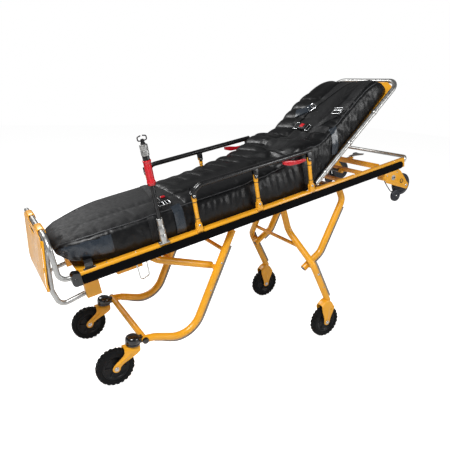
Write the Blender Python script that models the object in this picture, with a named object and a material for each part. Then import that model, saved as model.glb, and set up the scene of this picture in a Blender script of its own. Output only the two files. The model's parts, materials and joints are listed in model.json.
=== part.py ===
"""Stretcher trolley: sloping deck, folding wheeled legs, guards, backrest and drip pole.

Metres, +Z up, +X towards the head end, the wheels stand on z = 0. Most of the trolley is
drawn in the deck's own frame: s runs along the side rails from the foot end, y is across,
n is square to the deck. The deck empty carries that frame, so its pieces are parented to it.
"""
import bpy
import bmesh
from math import atan2, ceil, cos, pi, radians, sin, tan
from mathutils import Matrix, Vector

# --- Driving dimensions ------------------------------------------------------------------
PITCH = radians(12.3)                  # the deck falls towards the foot end
DECK_FOOT = Vector((-0.8877, 0.0, 0.559))   # rail centre line at its foot end
SIDES = (("left", -1), ("right", 1))   # the patient's left is -Y

RAIL_END = 1.8705
RAIL_IN, RAIL_OUT = 0.258, 0.2855
RAIL_LOW, RAIL_TOP = -0.020, 0.031
BUMPER_END = 1.850
BUMPER_OUT = 0.294
GAP = 0.0003                           # between pieces that touch
TRAY_LOW, TRAY_TOP = 0.004, 0.009
TRAY_END = 1.170
FRAME_TUBE = 0.0175                    # leg and brace tubes
SHAFT = 0.010                          # hinge shafts and thin cross tubes
HANDLE_TUBE = 0.011

WHEEL_R, WHEEL_W = 0.090, 0.036
RIM_R = 0.062
AXLE_R = 0.005
FORK_HALF = 0.026                      # middle of a fork plate from the wheel's middle
FORK_PLATE = 0.003
HEAD_WHEEL = Vector((0.4373, 0.300, WHEEL_R))
SWIVEL = Vector((-0.6617, 0.233, 0.0))
TRAIL = 0.085
SWIVEL_LOW, SWIVEL_TOP, SWIVEL_R = 0.182, 0.228, 0.034

HEAD_HINGE = (1.095, -0.035)           # s, n of the head legs' hinge
HEAD_LEG = ((1.097, 0.150, -0.035), (1.122, 0.150, -0.205),
            (1.150, 0.300, -0.365), (1.230, 0.300, -0.622))
BRACE_PIVOT = (1.162, -0.393)
BRACE_Y = 0.238
HEAD_BRACE = ((1.416, -0.030), (1.436, -0.100), (1.252, -0.352), (1.131, -0.408))

FOOT_HINGE = (0.735, -0.040)
FOOT_LEG_Y = 0.245
FOOT_KNEE = (0.420, -0.502)
FOOT_HEEL = (0.2440, -0.4190)
CROSSBAR = (0.1955, -0.4080)
FOOT_BRACE_PIVOT = (0.612, -0.198)
FOOT_BRACE_Y = 0.205
FOOT_BRACE = (FOOT_BRACE_PIVOT, (0.355, -0.072), (0.325, -0.045))
FOOT_BRACE_TIE = (0.420, -0.104)       # cross tube between the two foot braces

POST_S = (0.550, 0.877, 1.197)
POST_Y = 0.284
POST_LOW, POST_HIGH = 0.060, 0.198     # pivots of a guard post
POST_TUBE = 0.010
TONGUE_HALF, CHEEK = 0.0065, 0.0035
GUARD_N, GUARD_R = 0.2395, 0.0125
RELEASE_PIVOT = (1.051, 0.2185)

BACK_PIVOT = (1.262, 0.042)
BACK_ANGLE = radians(33.3)
BACK_Y, BACK_R, BACK_LEN = 0.243, 0.0125, 0.745
PIVOT_SHAFT = 0.008
STRUT_BASE = (1.585, -0.004)
STRUT_TOP = (0.120, -0.028)            # along and square to the backrest
STRUT_Y = -0.055
LEVER_PIVOT = (1.735, 0.036)

DRIP_S, DRIP_Y = 0.375, -0.282
MAST_R, ROD_R = 0.0094, 0.0074

LOAD_WHEEL = (1.871, -0.129)
LOAD_R = 0.063
TRIGGER_PIVOT = (1.800, -0.118)
TRIGGER_WHEEL = (1.796, -0.172)
TRIGGER_R = 0.035


# --- Shapes --------------------------------------------------------------------------------
def finish_mesh(bm):
    bmesh.ops.recalc_face_normals(bm, faces=bm.faces)
    return bm


def rounded(points, radii, step=radians(30), closed=False):
    """A route whose corners are arcs; radii holds one radius, or one for each corner."""
    pts = [Vector(p) for p in points]
    last = len(pts)
    corners = range(last) if closed else range(1, last - 1)
    if not hasattr(radii, "__len__"):
        radii = [radii] * len(corners)
    route = [] if closed else [pts[0]]
    for index, radius in zip(corners, radii):
        corner = pts[index]
        back = (pts[index - 1] - corner).normalized()
        ahead = (pts[(index + 1) % last] - corner).normalized()
        half = back.angle(ahead) / 2
        if radius == 0:
            route.append(corner)
            continue
        centre = corner + (back + ahead).normalized() * (radius / sin(half))
        start = corner + back * (radius / tan(half)) - centre
        end = corner + ahead * (radius / tan(half)) - centre
        turn = pi - 2 * half
        count = max(1, ceil(turn / step))
        for i in range(count + 1):
            share = i / count
            arc = start * sin(turn * (1 - share)) + end * sin(turn * share)
            route.append(centre + arc / sin(turn))
    if not closed:
        route.append(pts[-1])
    return route


def tube(route, radius, sides=10):
    """A solid round bar along the route."""
    pts = [Vector(p) for p in route]
    bm = bmesh.new()
    rings = []
    first = (pts[1] - pts[0]).normalized()
    up = first.orthogonal().normalized()
    for i, point in enumerate(pts):
        before = (point - pts[i - 1]).normalized() if i else first
        after = (pts[i + 1] - point).normalized() if i + 1 < len(pts) else before
        along = (before + after).normalized()
        up = (up - along * up.dot(along)).normalized()
        across = along.cross(up)
        turns = [2 * pi * (k + 0.5) / sides for k in range(sides)]
        ring = [point + (up * cos(a) + across * sin(a)) * radius for a in turns]
        rings.append([bm.verts.new(v) for v in ring])
    skin(bm, rings)
    return finish_mesh(bm)


def skin(bm, rings, closed=False):
    """Quads between neighbouring rings of equal length, with caps unless it is closed."""
    sides = len(rings[0])
    pairs = list(zip(rings, rings[1:]))
    if closed:
        pairs.append((rings[-1], rings[0]))
    else:
        bm.faces.new(rings[0])
        bm.faces.new(rings[-1])
    for low, high in pairs:
        for k in range(sides):
            nxt = (k + 1) % sides
            bm.faces.new((low[k], low[nxt], high[nxt], high[k]))


def turned(profile, centre, axis, sides=24, hollow=False):
    """A profile of (radius, along) points turned about an axis through centre."""
    axis = Vector(axis).normalized()
    up = Vector((0, 0, -1)) if abs(axis.z) < 0.9 else Vector((1, 0, 0))
    up = (up - axis * up.dot(axis)).normalized()
    across = axis.cross(up)
    bm = bmesh.new()
    rings = []
    for radius, along in profile:
        base = Vector(centre) + axis * along
        turns = [2 * pi * k / sides for k in range(sides)]
        rings.append([bm.verts.new(base + (up * cos(a) + across * sin(a)) * radius) for a in turns])
    skin(bm, rings, closed=hollow)
    return finish_mesh(bm)


def cylinder(low, high, radius, sides=10):
    low, high = Vector(low), Vector(high)
    return turned(((radius, 0.0), (radius, (high - low).length)), low, high - low, sides)


def slab(outline, low, high, axis="y"):
    """A flat outline given thickness: (s, n) along y, (y, n) along s or (s, y) along n."""
    order = {"y": lambda a, b, t: (a, t, b), "s": lambda a, b, t: (t, a, b),
             "n": lambda a, b, t: (a, b, t)}[axis]
    bm = bmesh.new()
    rings = [[bm.verts.new(order(p[0], p[1], t)) for p in outline] for t in (low, high)]
    skin(bm, rings)
    return finish_mesh(bm)


def rounded_outline(points, radii, step=radians(30)):
    flat = rounded([(p[0], p[1], 0) for p in points], radii, step, closed=True)
    return [(p.x, p.y) for p in flat]


def capsule(start, end, radius, steps=4):
    """The outline of a link: two round ends joined by straight sides."""
    start, end = Vector(start), Vector(end)
    heading = atan2(end.y - start.y, end.x - start.x)
    outline = []
    for centre, offset in ((end, -pi / 2), (start, pi / 2)):
        for k in range(steps + 1):
            angle = heading + offset + pi * k / steps
            outline.append((centre.x + radius * cos(angle), centre.y + radius * sin(angle)))
    return outline


def block(low, high, chamfer=0.0):
    bm = bmesh.new()
    low, high = Vector(low), Vector(high)
    middle = Matrix.Translation((low + high) / 2)
    bmesh.ops.create_cube(bm, size=1.0, matrix=middle @ Matrix.Diagonal(high - low).to_4x4())
    if chamfer:
        bmesh.ops.bevel(bm, geom=bm.edges[:], offset=chamfer, segments=1, affect="EDGES")
    return finish_mesh(bm)


def loft(stations):
    """A closed body through equal-length rings of points."""
    bm = bmesh.new()
    skin(bm, [[bm.verts.new(p) for p in ring] for ring in stations])
    return finish_mesh(bm)


# --- Objects -------------------------------------------------------------------------------
def make_material(name, colour, roughness, metallic=0.0):
    mat = bpy.data.materials.new(name)
    mat.use_nodes = True
    shader = mat.node_tree.nodes["Principled BSDF"]
    shader.inputs["Base Color"].default_value = (*colour, 1.0)
    shader.inputs["Roughness"].default_value = roughness
    shader.inputs["Metallic"].default_value = metallic
    return mat


def mesh_object(name, bm, parent):
    mesh = bpy.data.meshes.new(name)
    bm.to_mesh(mesh)
    bm.free()
    mesh.shade_smooth()
    mesh.set_sharp_from_angle(angle=radians(35))
    ob = bpy.data.objects.new(name, mesh)
    bpy.context.scene.collection.objects.link(ob)
    ob.parent = parent
    return ob


def to_world(s, y, n):
    return DECK_FOOT + Vector((s * cos(PITCH) - n * sin(PITCH), y, s * sin(PITCH) + n * cos(PITCH)))


def piece(name, shapes, colour, parent=None, origin=None, cuts=(), world_shapes=()):
    """One sub-part: its shapes joined into one body, less its cuts, turning about origin."""
    ob = mesh_object(name, shapes[0], parent)
    material = make_material(name, *FINISHES[colour])
    ob.data.materials.append(material)
    extras = [(bm, parent, "UNION") for bm in shapes[1:]]
    extras += [(bm, None, "UNION") for bm in world_shapes]
    extras += [(bm, parent, "DIFFERENCE") for bm in cuts]
    for count, (bm, owner, operation) in enumerate(extras):
        guide = mesh_object(f"{name}_{operation.lower()}_{count}", bm, owner)
        guide.hide_render = True
        guide.display_type = "WIRE"
        modifier = ob.modifiers.new(guide.name, "BOOLEAN")
        modifier.operation = operation
        modifier.solver = "EXACT"
        modifier.object = guide
    if origin is not None:
        ob.data.transform(Matrix.Translation(-Vector(origin)))
        ob.location = origin
    return ob


FINISHES = {
    "yellow": ((0.86, 0.47, 0.03), 0.38, 0.0),
    "silver": ((0.72, 0.73, 0.72), 0.30, 1.0),
    "chrome": ((0.86, 0.87, 0.88), 0.10, 1.0),
    "black plastic": ((0.012, 0.012, 0.013), 0.42, 0.0),
    "black metal": ((0.016, 0.017, 0.019), 0.35, 0.0),
    "rubber": ((0.014, 0.014, 0.014), 0.62, 0.0),
    "red": ((0.65, 0.012, 0.012), 0.35, 0.0),
    "leather": ((0.020, 0.021, 0.023), 0.36, 0.0),
    "grey hub": ((0.045, 0.048, 0.053), 0.45, 0.0),
}


# --- Deck ----------------------------------------------------------------------------------
def side_rail(side, m, deck):
    """Rail section with a raised rim, and the cheeks that carry the guard posts."""
    section = ((RAIL_IN, RAIL_LOW), (RAIL_OUT, RAIL_LOW), (RAIL_OUT, 0.024), (0.2825, RAIL_TOP),
               (0.262, RAIL_TOP), (RAIL_IN, 0.027))
    shapes = [slab([(m * y, n) for y, n in section], 0.0, RAIL_END, axis="s")]
    inner = POST_Y - TONGUE_HALF - 0.0005
    outer = POST_Y + TONGUE_HALF + 0.0005
    for s in POST_S:
        foot = 0.015
        cheek = [(s - foot, RAIL_TOP - 0.002), (s + foot, RAIL_TOP - 0.002)]
        cheek += [(s + 0.012 * cos(pi * k / 4), POST_LOW + 0.012 * sin(pi * k / 4)) for k in range(5)]
        for low, high in ((inner - CHEEK, inner), (outer, outer + CHEEK)):
            low, high = sorted((m * low, m * high))
            shapes.append(slab(cheek, low, high))
        low, high = sorted((m * (inner - CHEEK + 0.0005), m * (outer + CHEEK - 0.0005)))
        shapes.append(block((s - foot + 0.0005, low, RAIL_TOP - 0.0035), (s + foot - 0.0005, high, 0.037)))
    piece(f"side_rail_{side}", shapes, "yellow", deck)


def deck_tray(deck):
    """Tray sheet with sloping edges, the hinge beams under it and the foot handle boxes."""
    edge = RAIL_IN - GAP
    lip = ((edge, 0.029), (0.234, TRAY_LOW), (-0.234, TRAY_LOW), (-edge, 0.029),
           (-edge, 0.0305), (-0.2545, 0.0305), (-0.2325, TRAY_TOP), (0.2325, TRAY_TOP),
           (0.2545, 0.0305), (edge, 0.0305))
    shapes = [slab(lip, 0.0, TRAY_END, axis="s")]
    for s, half, low in ((HEAD_HINGE[0], 0.022, -0.0155), (FOOT_HINGE[0], 0.020, -0.0155)):
        shapes.append(block((s - half, -0.232, low), (s + half, 0.232, TRAY_LOW + 0.002)))
    cuts = []
    hangers = ((HEAD_HINGE, 0.1745, 0.1795), (FOOT_HINGE, 0.2150, 0.2205))
    for (s, n), inner, outer in hangers:
        plate = [(s - 0.019, -0.012), (s + 0.019, -0.012)]
        plate = plate[::-1] + [(s - 0.018 * cos(pi * k / 4), n - 0.018 * sin(pi * k / 4)) for k in range(5)]
        for m in (-1, 1):
            low, high = sorted((m * inner, m * outer))
            shapes.append(slab(plate, low, high))
            cuts.append(cylinder((s, low - 0.001, n), (s, high + 0.001, n), SHAFT + 0.0007))
    for m in (-1, 1):
        low, high = sorted((m * 0.182, m * 0.222))
        shapes.append(block((0.010, low, -0.122), (0.074, high, TRAY_LOW + 0.002), 0.002))
        low, high = sorted((m * 0.188, m * 0.230))
        shapes.append(block((0.3455, low, -0.0235), (0.3515, high, TRAY_LOW + 0.002)))
    piece("deck_tray", shapes, "yellow", deck, cuts=cuts)


def head_frame(deck):
    """Ladder frame past the tray: ledges, cross bars, backrest lugs, strut and brace seats."""
    ledge_in = 0.236
    shapes = []
    for m in (-1, 1):
        low, high = sorted((m * ledge_in, m * (RAIL_IN - GAP)))
        shapes.append(block((TRAY_END + 0.001, low, 0.001), (1.735, high, 0.007)))
    bars = ((1.302, 1.384, 0.0, 0.0055), (1.490, 1.512, -0.028, -0.014), (1.600, 1.622, -0.009, 0.0075))
    for start, end, low, high in bars:
        shapes.append(block((start, -0.2465, low), (end, 0.2465, high)))
    for m in (-1, 1):
        low, high = sorted((m * 0.2385, m * 0.2465))
        shapes.append(block((1.490, low, -0.027), (1.512, high, 0.006)))
    cuts = []
    s, n = BACK_PIVOT
    lug = [(s + 0.018, 0.003)]
    lug += [(s + 0.014 * cos(pi * k / 4), n + 0.014 * sin(pi * k / 4)) for k in range(5)]
    lug.append((s - 0.018, 0.003))
    for m in (-1, 1):
        low, high = sorted((m * 0.214, m * 0.220))
        shapes.append(slab(lug, low, high))
        cuts.append(cylinder((s, low - 0.001, n), (s, high + 0.001, n), PIVOT_SHAFT + 0.0007))
        low, high = sorted((m * 0.212, m * 0.246))
        shapes.append(block((s - 0.020, low, 0.0005), (s + 0.020, high, 0.0045)))
        low, high = sorted((m * 0.150, m * 0.185))
        seat = ((1.384, -0.0185), (1.384, 0.003), (1.374, 0.003), (1.378, -0.013), (1.438, -0.013),
                (1.438, -0.048), (1.4295, -0.048), (1.4295, -0.0185))
        shapes.append(slab(seat, low, high))
        low, high = sorted((m * 0.0092, m * 0.0130))
        fork = [(1.603, 0.0070), (1.603, -0.0085)]
        fork += [(STRUT_BASE[0] - 0.012 * sin(pi * k / 4), STRUT_BASE[1] - 0.012 * cos(pi * k / 4))
                 for k in range(5)]
        shapes.append(slab(fork, STRUT_Y + low, STRUT_Y + high))
    end_plate = ((1.697, 0.0035), (1.703, 0.0035), (1.703, 0.034), (1.697, 0.034))
    shapes.append(slab(end_plate, -0.2570, 0.2570))
    s, n = LEVER_PIVOT
    shapes.append(block((1.6985, -0.012, 0.020), (s + 0.010, 0.012, n - 0.0052)))
    piece("head_frame", shapes, "yellow", deck, cuts=cuts)


def bumpers_and_caps(side, m, deck):
    low, high = sorted((m * (RAIL_OUT + GAP), m * BUMPER_OUT))
    outline = rounded_outline(((0.001, -0.020), (BUMPER_END, -0.020), (BUMPER_END, 0.020), (0.001, 0.020)),
                              (0, 0.018, 0.018, 0))
    piece(f"bumper_{side}", [slab(outline, low, high)], "rubber", deck)
    low, high = sorted((m * 0.2585, m * 0.2975))
    cap = rounded_outline(((-0.040, -0.019), (-2 * GAP, -0.019), (-2 * GAP, 0.034), (-0.028, 0.041),
                           (-0.040, 0.030)), (0.014, 0, 0, 0.006, 0.008))
    piece(f"corner_cap_{side}", [slab(cap, low, high)], "black plastic", deck)


def foot_handles(deck):
    """The high handle on the corner caps, the low one under it and the panel on both."""
    y, top = 0.280, 0.204
    bar = -0.083
    route = ((-0.0405, -y, 0.022), (bar, -y, 0.022), (bar, -y, top), (bar, y, top), (bar, y, 0.022),
             (-0.0405, y, 0.022))
    piece("foot_handle", [tube(rounded(route, (0.036, 0.055, 0.055, 0.036)), HANDLE_TUBE)], "silver", deck)
    y = 0.198
    low, knee, high = (-0.100, -0.118), (-0.116, -0.040), (-0.0905, 0.148)
    half = [(0.0080, y, -0.103), (low[0], y, low[1]), (knee[0], y, knee[1]), (high[0], y, high[1])]
    route = [(s, -y, n) for s, y, n in half] + half[::-1]
    radii = (0.034, 0.060, 0.036, 0.036, 0.060, 0.034)
    piece("lower_handle", [tube(rounded(route, radii), HANDLE_TUBE)], "silver", deck)
    sheet = ((-0.1325, -0.036), (-0.1320, 0.000), (-0.0985, 0.190), (-0.0985, 0.201), (-0.0955, 0.201),
             (-0.0955, 0.190), (-0.1290, 0.000), (-0.1295, -0.036))
    shapes = [slab(sheet, -0.212, 0.212)]
    hook = ((-0.0985, 0.199), (-0.0985, 0.2185), (-0.0665, 0.2185), (-0.0665, 0.196), (-0.0695, 0.196),
            (-0.0695, 0.2155), (-0.0955, 0.2155), (-0.0955, 0.199))
    fold = ((-0.1320, -0.0355), (-0.1240, -0.034), (-0.1235, 0.002), (-0.0900, 0.180), (-0.0980, 0.189),
            (-0.1315, 0.0))
    for m in (-1, 1):
        shapes.append(slab(fold, *sorted((m * 0.211, m * 0.214))))
        shapes.append(slab(hook, *sorted((m * 0.075, m * 0.165))))
    slot = slab(capsule((-0.050, 0.177), (0.050, 0.177), 0.0085), -0.14, -0.09, axis="s")
    piece("foot_panel", shapes, "yellow", deck, cuts=[slot])


def under_tray(deck):
    """Shallow channel under the foot of the tray, and the wire stirrup beside it."""
    floor, wall = -0.082, 0.1865
    channel = ((-wall, TRAY_LOW - GAP), (-wall, floor), (wall, floor), (wall, TRAY_LOW - GAP),
               (wall - 0.0025, TRAY_LOW - GAP), (wall - 0.0025, floor + 0.0025),
               (0.0025 - wall, floor + 0.0025), (0.0025 - wall, TRAY_LOW - GAP))
    piece("under_tray_channel", [slab(channel, 0.165, 0.285, axis="s")], "yellow", deck)
    y = -0.2285
    top = TRAY_LOW - 0.0005
    route = ((0.246, y, top), (0.251, y, -0.126), (0.293, y, -0.116), (0.296, y, top))
    piece("wire_stirrup", [tube(rounded(route, 0.012), 0.003, 8)], "silver", deck)


def head_bar(deck):
    s, y = RAIL_END + 0.0240, 0.2715
    start = RAIL_END + 0.0085
    route = ((start, -y, 0.008), (s, -y, 0.030), (s, y, 0.030), (start, y, 0.008))
    piece("head_bar", [tube(rounded(route, 0.014), 0.0095)], "silver", deck)


# --- Drip pole -----------------------------------------------------------------------------
def drip_pole(deck):
    s, y = DRIP_S, DRIP_Y

    def ring(bore, radius, low, high, sides=16):
        profile = ((bore, low), (bore, high), (radius, high), (radius, low))
        return turned(profile, (s, y, 0), (0, 0, 1), sides, hollow=True)

    socket_bore = MAST_R + 0.0005
    foot = RAIL_TOP + GAP
    socket_profile = ((socket_bore, foot + 0.004), (socket_bore, 0.147), (0.0130, 0.147), (0.0142, 0.143),
                      (0.0142, 0.104), (0.0166, 0.099), (0.0166, 0.056), (0.0150, foot + 0.004))
    socket = turned(socket_profile, (s, y, 0), (0, 0, 1), 16, hollow=True)
    corners = ((-0.024, -0.0135), (0.024, -0.0135), (0.024, 0.018), (-0.024, 0.018))
    flange = slab([(s + a, y + b) for a, b in corners], foot, foot + 0.0055, axis="n")
    piece("drip_pole_socket", [flange, socket], "silver", deck)
    piece("drip_pole_mast", [ring(0.0080, MAST_R, foot + 0.0062, 0.314)], "chrome", deck)
    grip_profile = ((socket_bore, 0.2968), (socket_bore, 0.404), (0.0184, 0.404), (0.0184, 0.399),
                    (0.0165, 0.395), (0.0165, 0.318), (0.0190, 0.313), (0.0190, 0.305), (0.0150, 0.2968))
    piece("drip_pole_grip", [turned(grip_profile, (s, y, 0), (0, 0, 1), 16, hollow=True)], "red", deck)
    stem = ((ROD_R, 0.110), (ROD_R, 0.405), (0.0150, 0.405), (0.0150, 0.422), (0.0170, 0.424),
            (0.0170, 0.467), (0.0150, 0.471), (0.0080, 0.471), (0.0080, 0.492))
    shapes = [turned(stem, (s, y, 0), (0, 0, 1), 12)]
    for m in (-1, 1):
        loop = ((s, y, 0.486), (s + m * 0.009, y, 0.4845), (s + m * 0.019, y, 0.487),
                (s + m * 0.0195, y, 0.502), (s + m * 0.004, y, 0.5055))
        shapes.append(tube(rounded(loop, (0.004, 0.005, 0.006)), 0.0025, 6))
    piece("drip_pole_upper", shapes, "chrome", deck, origin=(s, y, 0.405))


# --- Folding side guards -------------------------------------------------------------------
def guards(side, m, deck):
    y = m * POST_Y
    thick = sorted((m * (POST_Y - TONGUE_HALF), m * (POST_Y + TONGUE_HALF)))
    for number, s in enumerate(POST_S, 1):
        shapes = [tube(((s, y, POST_LOW + 0.018), (s, y, POST_HIGH - 0.018)), POST_TUBE, 12)]
        for low, high in ((POST_LOW, POST_LOW + 0.024), (POST_HIGH - 0.024, POST_HIGH)):
            shapes.append(slab(capsule((s, low), (s, high), 0.0095), *thick))
        piece(f"guard_post_{side}_{number}", shapes, "yellow", deck, origin=(s, y, POST_LOW))
    route = ((POST_S[2] + 0.017, y, GUARD_N), (0.592, y, GUARD_N), (0.542, y, 0.207))
    shapes = [tube(rounded(route, 0.045), GUARD_R)]
    inner = POST_Y - TONGUE_HALF - 0.0005
    outer = POST_Y + TONGUE_HALF + 0.0005
    for s in POST_S:
        cheek = [(s + 0.013, GUARD_N - 0.006), (s - 0.013, GUARD_N - 0.006)]
        cheek += [(s - 0.0115 * cos(pi * k / 4), POST_HIGH - 0.0115 * sin(pi * k / 4)) for k in range(5)]
        for low, high in ((inner - CHEEK, inner), (outer, outer + CHEEK)):
            low, high = sorted((m * low, m * high))
            shapes.append(slab(cheek, low, high))
    yoke = sorted((m * (inner - CHEEK + 0.0005), m * (outer + CHEEK - 0.0005)))
    s = POST_S[0]
    bridge = ((s - 0.0125, 0.2145), (s + 0.0125, 0.2145), (s + 0.0125, 0.233), (s - 0.0125, 0.233))
    shapes.append(slab(bridge, *yoke))
    low, high = sorted((m * inner, m * outer))
    clearance = slab(capsule((s, POST_HIGH), (s + 0.03, POST_HIGH), 0.0115), low, high)
    piece(f"guard_rail_{side}", shapes, "black metal", deck, origin=(s, y, POST_HIGH), cuts=[clearance])
    pivot = RELEASE_PIVOT
    corners = ((pivot[0] - 0.010, 0.2255), (pivot[0] - 0.010, 0.209), (1.075, 0.196), (1.130, 0.191),
               (1.172, 0.195), (1.172, 0.206), (1.120, 0.209), (1.075, 0.2210))
    radii = (0.004, 0.004, 0.010, 0.010, 0.004, 0.004, 0.010, 0.006)
    outline = rounded_outline(corners, radii, step=radians(45))
    low, high = sorted((m * (POST_Y - 0.008), m * (POST_Y + 0.008)))
    piece(f"guard_release_{side}", [slab(outline, low, high)], "red", deck, origin=(pivot[0], y, pivot[1]))


# --- Backrest ------------------------------------------------------------------------------
def back(along, y, out):
    """A point of the backrest, along and square to it, in the deck's frame."""
    s = BACK_PIVOT[0] + along * cos(BACK_ANGLE) - out * sin(BACK_ANGLE)
    n = BACK_PIVOT[1] + along * sin(BACK_ANGLE) + out * cos(BACK_ANGLE)
    return Vector((s, y, n))


def tilt(bm):
    """Carries a shape drawn along the backrest (s, n from its pivot) to its resting tilt."""
    turn = Matrix.Rotation(-BACK_ANGLE, 4, "Y")
    move = Matrix.Translation((BACK_PIVOT[0], 0, BACK_PIVOT[1]))
    bmesh.ops.transform(bm, matrix=move @ turn, verts=bm.verts)
    return bm


def backrest(deck):
    origin = (BACK_PIVOT[0], 0, BACK_PIVOT[1])
    y = BACK_Y
    route = ((0, -y, 0), (BACK_LEN, -y, 0), (BACK_LEN, y, 0), (0, y, 0))
    shapes = [tilt(tube(rounded(route, 0.070), BACK_R))]
    shapes.append(tilt(cylinder((0, -0.2552, 0), (0, 0.2552, 0), PIVOT_SHAFT)))
    piece("backrest_frame", shapes, "silver", deck, origin=origin)
    corners = ((0.036, -0.2275), (0.700, -0.2275), (0.7315, -0.160), (0.7315, 0.160), (0.700, 0.2275),
               (0.036, 0.2275))
    plate = rounded_outline(corners, (0, 0.03, 0.02, 0.02, 0.03, 0))
    shapes = [tilt(slab(plate, -0.005, -0.0015, axis="n"))]
    for offset in (-0.0115, 0.0115):
        along, out = STRUT_TOP
        ear = [(along + 0.022, -0.004)]
        ear += [(along + 0.010 * cos(pi * k / 4), out - 0.010 * sin(pi * k / 4)) for k in range(5)]
        ear.append((along - 0.022, -0.004))
        shapes.append(tilt(slab(ear, STRUT_Y + offset - 0.0015, STRUT_Y + offset + 0.0015)))
    piece("backrest_panel", shapes, "yellow", deck, origin=origin)


def gas_strut(deck):
    """Cylinder on the head frame and rod towards the backrest; its top pivot is left open."""
    base = Vector((STRUT_BASE[0], STRUT_Y, STRUT_BASE[1]))
    top = back(STRUT_TOP[0], STRUT_Y, STRUT_TOP[1])
    along = (top - base).normalized()
    span = (top - base).length
    body_end, bore = 0.172, 0.0056

    def eye(centre, half):
        return cylinder(centre - Vector((0, half, 0)), centre + Vector((0, half, 0)), 0.0088)

    profile = ((bore, 0.050), (0.0095, 0.050), (0.0110, 0.054), (0.0110, body_end - 0.003),
               (0.0095, body_end), (bore, body_end))
    body = turned(profile, base, along, 12, hollow=True)
    neck = cylinder(base + along * 0.004, base + along * 0.0515, 0.0090)
    shapes = [neck, eye(base, 0.0085), body]
    piece("gas_strut_cylinder", shapes, "black metal", deck, origin=base)
    rod = cylinder(base + along * 0.100, top - along * 0.003, 0.0050)
    piece("gas_strut_rod", [rod, eye(top, 0.0085)], "chrome", deck, origin=top)


def back_lever(deck):
    s, n = LEVER_PIVOT
    corners = ((s - 0.003, -0.016), (s + 0.028, -0.016), (s + 0.058, -0.040), (s + 0.080, -0.034),
               (s + 0.066, 0.0), (s + 0.080, 0.034), (s + 0.058, 0.040), (s + 0.028, 0.016),
               (s - 0.003, 0.016))
    radii = (0.002, 0.010, 0.010, 0.008, 0.030, 0.008, 0.010, 0.010, 0.002)
    outline = rounded_outline(corners, radii)
    piece("backrest_lever", [slab(outline, n - 0.004, n + 0.001, axis="n")], "silver", deck, origin=(s, 0, n))


# --- Mattress ------------------------------------------------------------------------------
def cushion_ring(place, half, low, high, soft):
    """One section of a cushion: a box with softened edges, its points set by place(y, h)."""
    outline = ((-half, low + soft), (-half + soft, low), (half - soft, low), (half, low + soft),
               (half, high - soft), (half - soft, high), (soft - half, high), (-half, high - soft))
    return [place(y, h) for y, h in outline]


def mattress(deck):
    stations = ((-0.050, 0.165, 0.084, 0.124, 0.010), (-0.024, 0.198, 0.064, 0.144, 0.018),
                (0.040, 0.224, 0.040, 0.156, 0.020), (0.160, 0.240, 0.022, 0.162, 0.020),
                (0.300, 0.244, 0.015, 0.164, 0.020), (0.800, 0.244, 0.014, 0.166, 0.024))
    rings = [cushion_ring(lambda y, h, s=s: (s, y, h), half, low, high, soft)
             for s, half, low, high, soft in stations]
    rings.append(cushion_ring(lambda y, h: (1.185 - 0.34 * (h - 0.014), y, h), 0.244, 0.014, 0.172, 0.026))
    piece("mattress_seat", [loft(rings)], "leather", deck)
    stations = ((0.040, 0.226, 0.130, 0.022), (0.540, 0.225, 0.126, 0.022),
                (0.600, 0.218, 0.108, 0.022), (0.648, 0.200, 0.060, 0.014))
    rings = [cushion_ring(lambda y, h, a=along: (a + 0.16 * h, y, h), half, 0.0005, high, soft)
             for along, half, high, soft in stations]
    piece("mattress_back", [tilt(loft(rings))], "leather", deck, origin=(BACK_PIVOT[0], 0, BACK_PIVOT[1]))


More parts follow.
